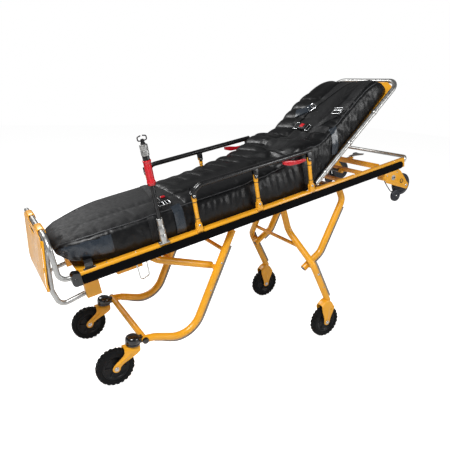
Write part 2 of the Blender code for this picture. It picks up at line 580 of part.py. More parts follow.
# --- Loading wheels at the head end --------------------------------------------------------
def loading_wheels(side, m, deck):
    plate = rounded_outline(((1.705, -0.0205), (1.818, -0.0205), (1.833, -0.036), (1.891, -0.129),
                             (1.880, -0.156), (1.711, -0.072)), (0, 0.006, 0.006, 0.010, 0.010, 0.004))
    short = rounded_outline(((1.705, -0.0205), (1.818, -0.0205), (1.833, -0.036), (1.891, -0.129),
                             (1.880, -0.156), (1.845, -0.136), (1.760, -0.060), (1.711, -0.060)),
                            (0, 0.006, 0.006, 0.010, 0.010, 0.010, 0.010, 0.004))
    inner, outer = 0.2350, 0.2935
    shapes = []
    for outline, low, high in ((plate, outer - 0.003, outer), (short, inner, inner + 0.003)):
        low, high = sorted((m * low, m * high))
        shapes.append(slab(outline, low, high))
    low, high = sorted((m * (inner + 0.0005), m * (outer - 0.0005)))
    shapes.append(block((1.7055, low, -0.0245), (1.818, high, -0.0208)))
    shapes.append(block((1.7055, low, -0.0600), (1.7090, high, -0.0212)))
    s, n = LOAD_WHEEL
    shapes.append(cylinder((s, low, n), (s, high, n), AXLE_R))
    piece(f"load_bracket_{side}", shapes, "yellow", deck)
    middle = 0.2535
    half = 0.0130
    bore = AXLE_R + 0.0006
    profile = ((bore, -half), (bore, half), (LOAD_R - 0.004, half), (LOAD_R, half - 0.005),
               (LOAD_R, 0.005 - half), (LOAD_R - 0.004, -half))
    centre = (s, m * middle, n)
    piece(f"load_wheel_{side}", [turned(profile, centre, (0, 1, 0), 20, hollow=True)], "rubber", deck, centre)
    arm_in, arm_out = 0.2690, 0.2725
    low, high = sorted((m * arm_in, m * arm_out))
    shapes = [slab(capsule(TRIGGER_PIVOT, TRIGGER_WHEEL, 0.012), low, high)]
    s, n = TRIGGER_PIVOT
    low, high = sorted((m * (arm_in + 0.001), m * (outer - 0.0035)))
    shapes.append(cylinder((s, low, n), (s, high, n), 0.0060))
    s, n = TRIGGER_WHEEL
    shapes.append(cylinder((s, low, n), (s, high, n), 0.0040))
    pivot = (TRIGGER_PIVOT[0], m * arm_in, TRIGGER_PIVOT[1])
    piece(f"trigger_arm_{side}", shapes, "black metal", deck, origin=pivot)
    middle, half, bore = 0.2815, 0.0080, 0.0046
    profile = ((bore, -half), (bore, half), (TRIGGER_R - 0.004, half), (TRIGGER_R, half - 0.004),
               (TRIGGER_R, 0.004 - half), (TRIGGER_R - 0.004, -half))
    centre = (s, m * middle, n)
    roller = turned(profile, centre, (0, 1, 0), 16, hollow=True)
    piece(f"trigger_wheel_{side}", [roller], "rubber", deck, centre)


# --- Legs ----------------------------------------------------------------------------------
def head_legs(deck):
    s, n = HEAD_HINGE
    shapes = [cylinder((s, -0.184, n), (s, 0.184, n), SHAFT)]
    flanges = []
    for m in (-1, 1):
        route = [(p[0], m * p[1], p[2]) for p in HEAD_LEG]
        shapes.append(tube(rounded(route, 0.080), FRAME_TUBE))
        low, high = sorted((m * (BRACE_Y + FRAME_TUBE + 0.0007), m * 0.298))
        pin_s, pin_n = BRACE_PIVOT
        shapes.append(cylinder((pin_s, low, pin_n), (pin_s, high, pin_n), 0.0120))
        x, y = HEAD_WHEEL.x, m * HEAD_WHEEL.y
        flanges.append(block((x - 0.022, y - 0.024, 0.2038), (x + 0.036, y + 0.024, 0.2098)))
    shapes.append(cylinder((1.136, -0.222, -0.284), (1.136, 0.222, -0.284), SHAFT))
    piece("head_leg_frame", shapes, "yellow", deck, origin=(s, 0, n), world_shapes=flanges)
    shapes = []
    s, n = HEAD_BRACE[0]
    shapes.append(cylinder((s, -BRACE_Y, n), (s, BRACE_Y, n), SHAFT))
    for m in (-1, 1):
        route = [(p[0], m * BRACE_Y, p[1]) for p in HEAD_BRACE]
        shapes.append(tube(rounded(route, (0.050, 0.070)), FRAME_TUBE))
    piece("head_brace_frame", shapes, "yellow", deck, origin=(BRACE_PIVOT[0], 0, BRACE_PIVOT[1]))


def fork_plates(axle, top, wide, crown):
    """Two tapering plates, the crown that joins them and the wheel bolt, in world axes."""
    x, y, z = axle
    rounds = [(x - 0.018 * cos(pi * k / 8), z - 0.018 * sin(pi * k / 8)) for k in range(9)]
    outline = rounds + [(wide[1], top - 0.022), (wide[1], top), (wide[0], top), (wide[0], top - 0.016)]
    shapes = []
    for offset in (-FORK_HALF, FORK_HALF):
        shapes.append(slab(outline, y + offset - FORK_PLATE / 2, y + offset + FORK_PLATE / 2))
    reach = FORK_HALF + FORK_PLATE / 2 - 0.0004
    shapes.append(block((crown[0], y - reach, top - 0.0065), (crown[1], y + reach, top - 0.0004)))
    reach = FORK_HALF + FORK_PLATE / 2 + 0.004
    shapes.append(cylinder((x, y - reach, z), (x, y + reach, z), AXLE_R))
    return shapes


def head_forks(side, m):
    x, y, z = HEAD_WHEEL
    axle = (x, m * y, z)
    shapes = fork_plates(axle, 0.2035, (x - 0.030, x + 0.044), (x - 0.028, x + 0.042))
    piece(f"head_fork_{side}", shapes, "yellow", origin=axle)
    wheel(f"head_{side}", axle)


def casters(side, m):
    x, y = SWIVEL.x, m * SWIVEL.y
    axle = (x - TRAIL, y, WHEEL_R)
    shapes = fork_plates(axle, SWIVEL_LOW - 0.0005, (x - 0.046, x + 0.028), (x - 0.042, x + 0.026))
    piece(f"caster_fork_{side}", shapes, "yellow", origin=(x, y, SWIVEL_LOW))
    wheel(f"caster_{side}", axle)


def wheel(name, centre):
    half, r = WHEEL_W / 2, WHEEL_R
    tread = ((RIM_R, -0.015), (0.083, -half), (r, -0.008), (r, 0.008), (0.083, half), (RIM_R, 0.015))
    piece(f"tyre_{name}", [turned(tread, centre, (0, 1, 0), 24, hollow=True)], "rubber", origin=centre)
    bore = AXLE_R + 0.0006
    rim = RIM_R - 0.0009
    hub = ((bore, -0.0225), (bore, 0.0225), (0.0160, 0.0225), (0.0190, 0.0090), (0.0520, 0.0090),
           (rim, 0.0140), (rim, -0.0140), (0.0520, -0.0090), (0.0190, -0.0090), (0.0160, -0.0225))
    piece(f"hub_{name}", [turned(hub, centre, (0, 1, 0), 16, hollow=True)], "grey hub", origin=centre)


def foot_legs(deck):
    s, n = FOOT_HINGE
    shapes = [cylinder((s, -FOOT_LEG_Y, n), (s, FOOT_LEG_Y, n), SHAFT)]
    for m in (-1, 1):
        route = [(p[0], m * FOOT_LEG_Y, p[1]) for p in (FOOT_HINGE, FOOT_KNEE, FOOT_HEEL, CROSSBAR)]
        shapes.append(tube(rounded(route, (0.130, 0.060)), FRAME_TUBE))
        low, high = sorted((m * (FOOT_BRACE_Y + FRAME_TUBE + 0.0007), m * 0.244))
        pin_s, pin_n = FOOT_BRACE_PIVOT
        shapes.append(cylinder((pin_s, low, pin_n), (pin_s, high, pin_n), 0.0120))
    s, n = CROSSBAR
    shapes.append(cylinder((s, -0.265, n), (s, 0.265, n), 0.0150))
    shapes.append(cylinder((0.672, -0.246, -0.124), (0.672, 0.246, -0.124), SHAFT))
    housings = []
    profile = ((SWIVEL_R, SWIVEL_LOW), (SWIVEL_R, SWIVEL_TOP - 0.016), (SWIVEL_R - 0.006, SWIVEL_TOP - 0.004),
               (SWIVEL_R - 0.016, SWIVEL_TOP))
    for m in (-1, 1):
        housings.append(turned(profile, (SWIVEL.x, m * SWIVEL.y, 0), (0, 0, 1), 18))
        bar = to_world(CROSSBAR[0], m * SWIVEL.y, CROSSBAR[1])
        low = (SWIVEL.x, bar.y - 0.016, bar.z - 0.013)
        housings.append(block(low, (bar.x, bar.y + 0.016, bar.z + 0.013)))
    hinge = (FOOT_HINGE[0], 0, FOOT_HINGE[1])
    piece("foot_leg_frame", shapes, "yellow", deck, origin=hinge, world_shapes=housings)
    s, n = FOOT_BRACE_TIE
    shapes = [cylinder((s, -FOOT_BRACE_Y, n), (s, FOOT_BRACE_Y, n), SHAFT)]
    for m in (-1, 1):
        route = [(p[0], m * FOOT_BRACE_Y, p[1]) for p in FOOT_BRACE]
        shapes.append(tube(rounded(route, 0.050), FRAME_TUBE))
    pivot = (FOOT_BRACE_PIVOT[0], 0, FOOT_BRACE_PIVOT[1])
    piece("foot_brace_frame", shapes, "yellow", deck, origin=pivot)


def build():
    for ob in list(bpy.data.objects):
        bpy.data.objects.remove(ob, do_unlink=True)
    deck = bpy.data.objects.new("deck", None)
    bpy.context.scene.collection.objects.link(deck)
    deck.location = DECK_FOOT
    deck.rotation_euler = (0, -PITCH, 0)
    deck_tray(deck)
    head_frame(deck)
    foot_handles(deck)
    under_tray(deck)
    head_bar(deck)
    drip_pole(deck)
    backrest(deck)
    gas_strut(deck)
    back_lever(deck)
    mattress(deck)
    head_legs(deck)
    foot_legs(deck)
    for side, m in SIDES:
        side_rail(side, m, deck)
        bumpers_and_caps(side, m, deck)
        guards(side, m, deck)
        loading_wheels(side, m, deck)
        head_forks(side, m)
        casters(side, m)


build()
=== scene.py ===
"""Looks of the stretcher trolley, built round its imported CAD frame.

Metres, +Z up, +X towards the head end. Most pieces are drawn in the deck's frame, as in the CAD:
s along the rails from the foot end, y across, n square to the deck.
"""
import json
from math import atan2, ceil, cos, exp, pi, radians, sin, tan

import bmesh
import bpy
import numpy as np
from mathutils import Matrix, Vector, noise
from mathutils.bvhtree import BVHTree

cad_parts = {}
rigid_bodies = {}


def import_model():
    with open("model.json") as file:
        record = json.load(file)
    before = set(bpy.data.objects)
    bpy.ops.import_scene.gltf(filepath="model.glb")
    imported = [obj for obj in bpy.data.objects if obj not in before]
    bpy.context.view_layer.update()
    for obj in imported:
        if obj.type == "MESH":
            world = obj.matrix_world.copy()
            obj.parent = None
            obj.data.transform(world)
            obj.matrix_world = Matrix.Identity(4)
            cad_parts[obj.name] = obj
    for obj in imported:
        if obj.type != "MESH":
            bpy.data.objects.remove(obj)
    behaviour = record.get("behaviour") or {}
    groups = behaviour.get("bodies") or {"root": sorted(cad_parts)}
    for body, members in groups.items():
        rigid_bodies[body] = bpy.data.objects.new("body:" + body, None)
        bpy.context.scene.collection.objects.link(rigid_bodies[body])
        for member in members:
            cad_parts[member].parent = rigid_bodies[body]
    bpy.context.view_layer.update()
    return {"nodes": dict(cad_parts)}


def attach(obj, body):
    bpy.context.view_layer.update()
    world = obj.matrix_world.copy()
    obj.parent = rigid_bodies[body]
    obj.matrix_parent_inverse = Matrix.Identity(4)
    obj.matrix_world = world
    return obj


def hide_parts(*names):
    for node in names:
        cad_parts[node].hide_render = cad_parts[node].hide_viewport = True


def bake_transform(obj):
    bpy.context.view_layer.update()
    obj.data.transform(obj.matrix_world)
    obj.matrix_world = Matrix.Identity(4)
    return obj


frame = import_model()

# --- Frames and dimensions shared with the CAD ----------------------------------------------
PITCH = radians(12.3)
BACK_ANGLE = radians(33.3)
DECK = Matrix.Translation((-0.8877, 0.0, 0.559)) @ Matrix.Rotation(-PITCH, 4, "Y")
BACK_PIVOT = (1.262, 0.042)
BACK = DECK @ Matrix.Translation((BACK_PIVOT[0], 0, BACK_PIVOT[1])) @ Matrix.Rotation(-BACK_ANGLE, 4, "Y")
WORLD = Matrix.Identity(4)
SIDES = (("left", -1), ("right", 1))
RAIL_END, RAIL_TOP = 1.8705, 0.031
POST_S, POST_Y, POST_LOW, POST_HIGH = (0.55, 0.877, 1.197), 0.284, 0.06, 0.198
GUARD_N, GUARD_R = 0.2395, 0.0125
FRAME_TUBE, SHAFT = 0.0175, 0.01
HEAD_HINGE, BRACE_PIVOT, BRACE_Y = (1.095, -0.035), (1.162, -0.393), 0.238
FOOT_HINGE, FOOT_LEG_Y = (0.735, -0.04), 0.245
CROSSBAR, FOOT_BRACE_Y = (0.1955, -0.408), 0.205
FOOT_BRACE_PIVOT = (0.612, -0.198)
BACK_Y, BACK_LEN = 0.243, 0.745
DRIP = (0.375, -0.282)
WHEEL_R, RIM_R = 0.09, 0.062
HEAD_WHEEL, SWIVEL, TRAIL = (0.4373, 0.3), (-0.6617, 0.233), 0.085
LOAD_AXLE, LOAD_INNER, LOAD_OUTER = (1.871, -0.129), 0.235, 0.2935
TRIGGER_PIVOT, TRIGGER_AXLE = (1.8, -0.118), (1.796, -0.172)

# --- Dimensions of the looks only -------------------------------------------------------------
UP = (0, 0, 1)
RAIL_MID = 0.2715                  # middle of a rail's top face, across
# Cheeks either side of POST_Y: their middle, half thickness and bolt seat
CHEEK, CHEEK_HALF, CHEEK_FACE = 0.0087, 0.0016, 0.0103
STRIP_OUT, STRIP_R = -0.021, 0.0095                      # wear strips: offset from the tube's axis, radius


# --- Materials ---------------------------------------------------------------------------------
def fill(node, **values):
    """Sets a node's sockets; an underscore stands for a space in a socket's name."""
    for socket, value in values.items():
        node.inputs[socket.replace("_", " ")].default_value = value
    return node


def look(name, colour, rough, metal=0.0, vary=0.25, tone=7.0, rough_vary=0.1, bumps=(), coat=0.0,
         soft_edge=0.0008, spec=0.5, sheen=0.0):
    """A procedural material: uneven colour and gloss, layered bumps and softened edges."""
    mat = bpy.data.materials.new(name)
    mat.use_nodes = True
    tree = mat.node_tree
    add, link = tree.nodes.new, tree.links.new
    shader = tree.nodes["Principled BSDF"]
    fill(shader, Metallic=metal, Coat_Weight=coat, Coat_Roughness=0.12, Specular_IOR_Level=spec,
         Sheen_Weight=sheen)
    place = add("ShaderNodeTexCoord").outputs["Object"]

    def noise_at(scale, detail=4.0, stretch=None):
        node = fill(add("ShaderNodeTexNoise"), Scale=scale, Detail=detail)
        source = place
        if stretch:
            mapping = fill(add("ShaderNodeMapping"), Scale=stretch)
            link(place, mapping.inputs["Vector"])
            source = mapping.outputs["Vector"]
        link(source, node.inputs["Vector"])
        return node.outputs["Fac"]

    ramp = add("ShaderNodeValToRGB")
    for stop, position, shade in zip(ramp.color_ramp.elements, (0.3, 0.72), (1 - vary, 1 + vary * 0.35)):
        stop.position = position
        stop.color = (*[min(1, c * shade) for c in colour], 1)
    link(noise_at(tone, 6.0), ramp.inputs["Fac"])
    link(ramp.outputs["Color"], shader.inputs["Base Color"])
    spread = fill(add("ShaderNodeMapRange"), From_Min=0.3, From_Max=0.7, To_Min=max(0.03, rough - rough_vary),
                  To_Max=min(1, rough + rough_vary))
    link(noise_at(tone * 5, 3.0), spread.inputs["Value"])
    link(spread.outputs["Result"], shader.inputs["Roughness"])
    edge = fill(add("ShaderNodeBevel"), Radius=soft_edge)
    edge.samples = 4
    normal = edge.outputs["Normal"]
    for kind, scale, depth in bumps:
        if kind == "grain":
            cells = fill(add("ShaderNodeTexVoronoi"), Scale=scale)
            cells.feature = "F1"
            link(place, cells.inputs["Vector"])
            height = cells.outputs["Distance"]
        elif kind == "brushed":
            height = noise_at(scale, 2.0, (1.0, 1.0, 0.05))
        elif kind == "weave":
            wave = fill(add("ShaderNodeTexWave"), Scale=scale)
            wave.wave_type = "BANDS"
            wave.bands_direction = "DIAGONAL"
            link(place, wave.inputs["Vector"])
            height = wave.outputs["Fac"]
        else:
            height = noise_at(scale, 5.0)
        bump = fill(add("ShaderNodeBump"), Distance=depth, Strength=0.6)
        link(height, bump.inputs["Height"])
        link(normal, bump.inputs["Normal"])
        normal = bump.outputs["Normal"]
    link(normal, shader.inputs["Normal"])
    return mat


LOOKS = {
    "yellow": look("yellow_powder_coat", (0.76, 0.345, 0.012), 0.34, vary=0.14, tone=5, coat=0.15,
                   bumps=(("peel", 420, 0.00012),), soft_edge=0.0012),
    "tube": look("brushed_tube", (0.5, 0.5, 0.49), 0.4, 1.0, vary=0.2, tone=14,
                 bumps=(("brushed", 600, 0.00003),)),
    "chrome": look("chrome_plate", (0.62, 0.63, 0.64), 0.24, 1.0, vary=0.12, tone=20, rough_vary=0.05),
    "rubber": look("bumper_rubber", (0.0014, 0.0014, 0.0016), 0.62, vary=0.35, tone=30,
                   bumps=(("grain", 700, 0.00012),), spec=0.06),
    "gloss": look("gloss_black_plastic", (0.0045, 0.0045, 0.005), 0.2, vary=0.2, coat=0.5, rough_vary=0.05,
                  bumps=(("peel", 300, 0.00006),)),
    "black": look("satin_black_coat", (0.006, 0.006, 0.0068), 0.32, vary=0.25, coat=0.15,
                  bumps=(("peel", 500, 0.0001),)),
    "red": look("red_plastic", (0.52, 0.006, 0.014), 0.3, vary=0.2, coat=0.3,
                bumps=(("peel", 350, 0.00008),)),
    "vinyl": look("upholstery_vinyl", (0.003, 0.0032, 0.0038), 0.37, vary=0.3, tone=9, rough_vary=0.07,
                  bumps=(("peel", 34, 0.0007), ("grain", 520, 0.00015)), spec=0.3),
    "panel": look("matte_cover_fabric", (0.0048, 0.005, 0.0056), 0.6, vary=0.25, tone=12,
                  bumps=(("peel", 40, 0.0006), ("weave", 420, 0.00012)), sheen=0.05, spec=0.25),
    # Partly painted sheen: the patch is a real glossy vinyl piece, but its colour is raised and blued to
    # paint the blue-grey sheen it shows.
    "patch": look("vinyl_patch_painted_sheen", (0.018, 0.0245, 0.0335), 0.3, vary=0.25, tone=8, coat=0.15,
                  bumps=(("peel", 30, 0.0006), ("grain", 600, 0.00012)), spec=0.5),
    "strap": look("black_webbing", (0.0048, 0.005, 0.006), 0.48, vary=0.3, tone=40, sheen=0.05, spec=0.35,
                  bumps=(("weave", 300, 0.0003), ("grain", 900, 0.00012))),
    # Partly painted highlight: the welts are real, but their grey, lighter than the vinyl, paints the
    # highlight line along the upper edges.
    "piping": look("piping_painted_edge_highlight", (0.03, 0.031, 0.034), 0.42, vary=0.25, tone=25,
                   bumps=(("grain", 800, 0.0001),)),
    "tyre": look("tyre_rubber", (0.0028, 0.0031, 0.0036), 0.55, vary=0.4, tone=22,
                 bumps=(("grain", 450, 0.0003),), spec=0.14),
    "hub": look("moulded_hub", (0.0032, 0.0036, 0.0044), 0.38, vary=0.3, tone=18,
                bumps=(("peel", 260, 0.00015),), spec=0.24),
    "blue": look("blue_black_rubber", (0.0075, 0.01, 0.018), 0.45, vary=0.3, tone=20,
                 bumps=(("grain", 500, 0.0002),)),
    "grey": look("grey_wear_strip", (0.21, 0.2, 0.185), 0.5, vary=0.35, tone=35,
                 bumps=(("grain", 500, 0.0002),)),
    "steel": look("zinc_bolt", (0.62, 0.62, 0.6), 0.24, 1.0, vary=0.2, tone=60),
    "label": look("pale_disc", (0.34, 0.34, 0.33), 0.45, vary=0.2, tone=60,
                  bumps=(("peel", 400, 0.00006),)),
}

SLOT_OF = {"yellow": "yellow_paint", "tube": "bright_tube", "chrome": "chrome", "steel": "chrome",
           "rubber": "bumper_rubber", "gloss": "black_plastic", "black": "black_metal",
           "red": "red_plastic", "vinyl": "vinyl", "patch": "vinyl", "strap": "vinyl", "piping": "vinyl",
           "grey": "bumper_rubber", "blue": "load_wheel_rubber", "tyre": "tyre", "hub": "hub_plastic",
           "label": "bumper_rubber"}


# --- Shapes ---------------------------------------------------------------------------------
def rounded(points, radii, step=radians(7), closed=False):
    """A route whose corners are arcs; radii holds one radius, or one for each corner."""
    pts = [Vector(p) for p in points]
    last = len(pts)
    corners = range(last) if closed else range(1, last - 1)
    if not hasattr(radii, "__len__"):
        radii = [radii] * len(corners)
    route = [] if closed else [pts[0]]
    for index, radius in zip(corners, radii):
        corner = pts[index]
        back = (pts[index - 1] - corner).normalized()
        ahead = (pts[(index + 1) % last] - corner).normalized()
        if radius == 0:
            route.append(corner)
            continue
        half = back.angle(ahead) / 2
        centre = corner + (back + ahead).normalized() * (radius / sin(half))
        start = corner + back * (radius / tan(half)) - centre
        end = corner + ahead * (radius / tan(half)) - centre
        turn = pi - 2 * half
        count = max(1, ceil(turn / step))
        for i in range(count + 1):
            share = i / count
            arc = start * sin(turn * (1 - share)) + end * sin(turn * share)
            route.append(centre + arc / sin(turn))
    if not closed:
        route.append(pts[-1])
    return route


def outline(points, radii):
    return [(p.x, p.y) for p in rounded([(p[0], p[1], 0) for p in points], radii, closed=True)]


def skin(bm, rings, closed=False, caps=True, wrap=True):
    sides = len(rings[0])
    pairs = list(zip(rings, rings[1:]))
    if closed:
        pairs.append((rings[-1], rings[0]))
    elif caps:
        bm.faces.new(rings[0])
        bm.faces.new(rings[-1])
    for low, high in pairs:
        for k in range(sides if wrap else sides - 1):
            nxt = (k + 1) % sides
            bm.faces.new((low[k], low[nxt], high[nxt], high[k]))
    bmesh.ops.recalc_face_normals(bm, faces=bm.faces)
    return bm


def tube(route, radius, sides=24, flat=1.0, closed=False):
    """A round bar along the route; flat squeezes it across its first normal."""
    pts = [Vector(p) for p in route]
    bm = bmesh.new()
    rings = []
    count = len(pts)
    up = (pts[1] - pts[0]).orthogonal().normalized()
    for i, point in enumerate(pts):
        before = (point - pts[i - 1]).normalized() if (i or closed) else (pts[1] - point).normalized()
        after = (pts[(i + 1) % count] - point).normalized() if (closed or i + 1 < count) else before
        along = (before + after).normalized()
        up = (up - along * up.dot(along)).normalized()
        across = along.cross(up)
        turns = [2 * pi * (k + 0.5) / sides for k in range(sides)]
        ring = [point + (up * cos(a) * flat + across * sin(a)) * radius for a in turns]
        rings.append([bm.verts.new(v) for v in ring])
    return skin(bm, rings, closed=closed)


def turned(profile, centre, axis, sides=48, hollow=False, shape=None):
    """A profile of (radius, along) points turned about an axis; shape(radius, along, angle) may vary it."""
    axis = Vector(axis).normalized()
    up = Vector((0, 0, -1)) if abs(axis.z) < 0.9 else Vector((1, 0, 0))
    up = (up - axis * up.dot(axis)).normalized()
    across = axis.cross(up)
    bm = bmesh.new()
    rings = []
    for radius, along in profile:
        base = Vector(centre) + axis * along
        ring = []
        for k in range(sides):
            a = 2 * pi * k / sides
            r = shape(radius, along, a) if shape else radius
            ring.append(bm.verts.new(base + (up * cos(a) + across * sin(a)) * r))
        rings.append(ring)
    return skin(bm, rings, closed=hollow)


def both_sides(half):
    """A wheel's profile from one half of it."""
    return [(r, -a) for r, a in half] + [(r, a) for r, a in half[::-1]]


def rod(low, high, radius, sides=32, soft=0.0):
    """A round bar between two points, with softened ends."""
    low, high = Vector(low), Vector(high)
    length = (high - low).length
    if not soft:
        return turned(((radius, 0), (radius, length)), low, high - low, sides)
    arc = [(radius - soft + soft * sin(a), soft - soft * cos(a)) for a in [pi / 2 * k / 4 for k in range(5)]]
    return turned(arc + [(r, length - z) for r, z in arc[::-1]], low, high - low, sides)


def cross_rod(s, y, n, radius, sides=24, soft=0.0):
    """A shaft square to the rails, from -y to y."""
    return rod((s, -y, n), (s, y, n), radius, sides, soft)


def slab(points, low, high, axis="y"):
    """A flat plate: an outline drawn square to the axis, from low to high along it."""
    places = {"y": (0, 2, 1), "s": (2, 0, 1), "n": (0, 1, 2)}[axis]
    bm = bmesh.new()
    rings = [[(p[0], p[1], t) for p in points] for t in sorted((low, high))]
    return skin(bm, [[bm.verts.new([v[i] for i in places]) for v in ring] for ring in rings])


def capsule(start, end, radius, steps=14):
    start, end = Vector(start), Vector(end)
    heading = atan2(end.y - start.y, end.x - start.x)
    points = []
    for centre, offset in ((end, -pi / 2), (start, pi / 2)):
        for k in range(steps + 1):
            angle = heading + offset + pi * k / steps
            points.append((centre.x + radius * cos(angle), centre.y + radius * sin(angle)))
    return points


def disc(centre, radius, steps=32):
    return [(centre[0] + radius * cos(2 * pi * k / steps), centre[1] + radius * sin(2 * pi * k / steps))
            for k in range(steps)]


def box(low, high):
    bm = bmesh.new()
    low, high = Vector(low), Vector(high)
    matrix = Matrix.Translation((low + high) / 2) @ Matrix.Diagonal(high - low).to_4x4()
    bmesh.ops.create_cube(bm, size=1.0, matrix=matrix)
    return bm


def add_object(name, data):
    ob = bpy.data.objects.new(name, data)
    bpy.context.scene.collection.objects.link(ob)
    return ob


def span(m, a, b):
    return sorted((m * a, m * b))


def put(name, shapes, colour, body, slot=None, base=DECK, bevel=0.0, segments=3, replaces=(), cuts=(),
        smooth=42):
    """One piece: its shapes joined in one mesh, placed by base, with a look and a body to ride on."""
    bm = bmesh.new()
    for part in shapes:
        mesh = bpy.data.meshes.new("part")
        part.to_mesh(mesh)
        part.free()
        bm.from_mesh(mesh)
        bpy.data.meshes.remove(mesh)
    bm.transform(base)
    mesh = bpy.data.meshes.new(name)
    bm.to_mesh(mesh)
    bm.free()
    ob = add_object(name, mesh)
    mesh.materials.append(LOOKS[colour])
    for count, cut in enumerate(cuts):
        knife = bpy.data.meshes.new("knife")
        cut.transform(base)
        cut.to_mesh(knife)
        cut.free()
        cutter = add_object(f"{name}_knife_{count}", knife)
        modifier = ob.modifiers.new("cut", "BOOLEAN")
        modifier.operation = "DIFFERENCE"
        modifier.solver = "EXACT"
        modifier.object = cutter
    if cuts:
        bake(ob)
        for count in range(len(cuts)):
            bpy.data.objects.remove(bpy.data.objects[f"{name}_knife_{count}"])
    if bevel:
        modifier = ob.modifiers.new("edges", "BEVEL")
        modifier.width = bevel
        modifier.segments = segments
        modifier.limit_method = "ANGLE"
        modifier.angle_limit = radians(38)
        modifier.use_clamp_overlap = True
        bake(ob)
    ob.data.shade_smooth()
    ob.data.set_sharp_from_angle(angle=radians(smooth))
    slot = slot or SLOT_OF[colour]
    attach(ob, body)
    if replaces:
        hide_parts(*replaces)
    return ob


def bake(ob):
    """Applies the modifiers of an object."""
    graph = bpy.context.evaluated_depsgraph_get()
    done = bpy.data.meshes.new_from_object(ob.evaluated_get(graph))
    old = ob.data
    ob.modifiers.clear()
    ob.data = done
    bpy.data.meshes.remove(old)
    done.name = ob.name


def bolt(centre, axis, radius=0.006, height=0.003):
    """A domed bolt head with a small recess."""
    profile = ((0.0004, height * 0.35), (radius * 0.42, height * 0.35), (radius * 0.46, height * 0.95),
               (radius * 0.7, height * 0.9), (radius * 0.93, height * 0.55), (radius, height * 0.15),
               (radius, -0.0008), (0.0004, -0.0008))
    return turned(profile, centre, axis, 20)


# --- Deck, rails, head frame ----------------------------------------------------------------
def cheeks(points, m):
    """Two thin plates beside a guard post."""
    middles = (POST_Y - CHEEK, POST_Y + CHEEK)
    return [slab(points, m * (y - CHEEK_HALF), m * (y + CHEEK_HALF)) for y in middles]


def post_bolts(s, m, n, outer, inner):
    """Bolt heads outside and inside the cheeks; outer and inner are (radius, height)."""
    return [bolt((s, m * (POST_Y + CHEEK_FACE), n), (0, m, 0), *outer),
            bolt((s, m * (POST_Y - CHEEK_FACE), n), (0, -m, 0), *inner)]


def rails(side, m):
    section = ((0.2583, -0.0195), (0.285, -0.0195), (0.285, 0.0235), (0.2818, RAIL_TOP), (0.263, RAIL_TOP),
               (0.261, 0.0285), (0.2583, 0.0268))
    shapes = [slab([(m * y, n) for y, n in section], 0.0006, RAIL_END - 0.0006, axis="s")]
    low, high = span(m, POST_Y - 0.0105, POST_Y + 0.0105)
    bolts = []
    for s in POST_S:
        top = POST_LOW + 0.012
        cheek = ((s - 0.015, 0.029), (s + 0.015, 0.029), (s + 0.012, top), (s - 0.012, top))
        shapes += cheeks(outline(cheek, (0, 0, 0.011, 0.011)), m)
        shapes.append(box((s - 0.0145, low, 0.0285), (s + 0.0145, high, 0.0368)))
        bolts += post_bolts(s, m, POST_LOW, (0.0062, 0.004), (0.0056, 0.0036))
    put(f"rail_skin_{side}", shapes, "yellow", "root", bevel=0.0011, replaces=[f"side_rail_{side}"])
    for s in (0.115, 0.245, 0.7, 1.03, 1.36, 1.5, 1.66, 1.8):
        bolts.append(bolt((s, m * RAIL_MID, RAIL_TOP), UP, 0.0036, 0.0018))
    put(f"rail_bolts_{side}", bolts, "steel", "root")
    profile = outline(((0.001, -0.02), (1.85, -0.02), (1.85, 0.02), (0.001, 0.02)), (0, 0.018, 0.018, 0))
    put(f"bumper_skin_{side}", [slab(profile, m * 0.2856, m * 0.2938)], "rubber", "root", bevel=0.0034,
        segments=4, replaces=[f"bumper_{side}"])
    cap = outline(((-0.04, -0.019), (-0.0006, -0.019), (-0.0006, 0.034), (-0.028, 0.041), (-0.04, 0.03)),
                  (0.017, 0.003, 0.004, 0.012, 0.013))
    knob = rod((-0.024, m * 0.2965, 0.008), (-0.024, m * 0.2992, 0.008), 0.0085, 32, 0.0015)
    put(f"corner_cap_skin_{side}", [slab(cap, m * 0.2587, m * 0.2973), knob], "gloss", "root", bevel=0.0115,
        segments=6, replaces=[f"corner_cap_{side}"])


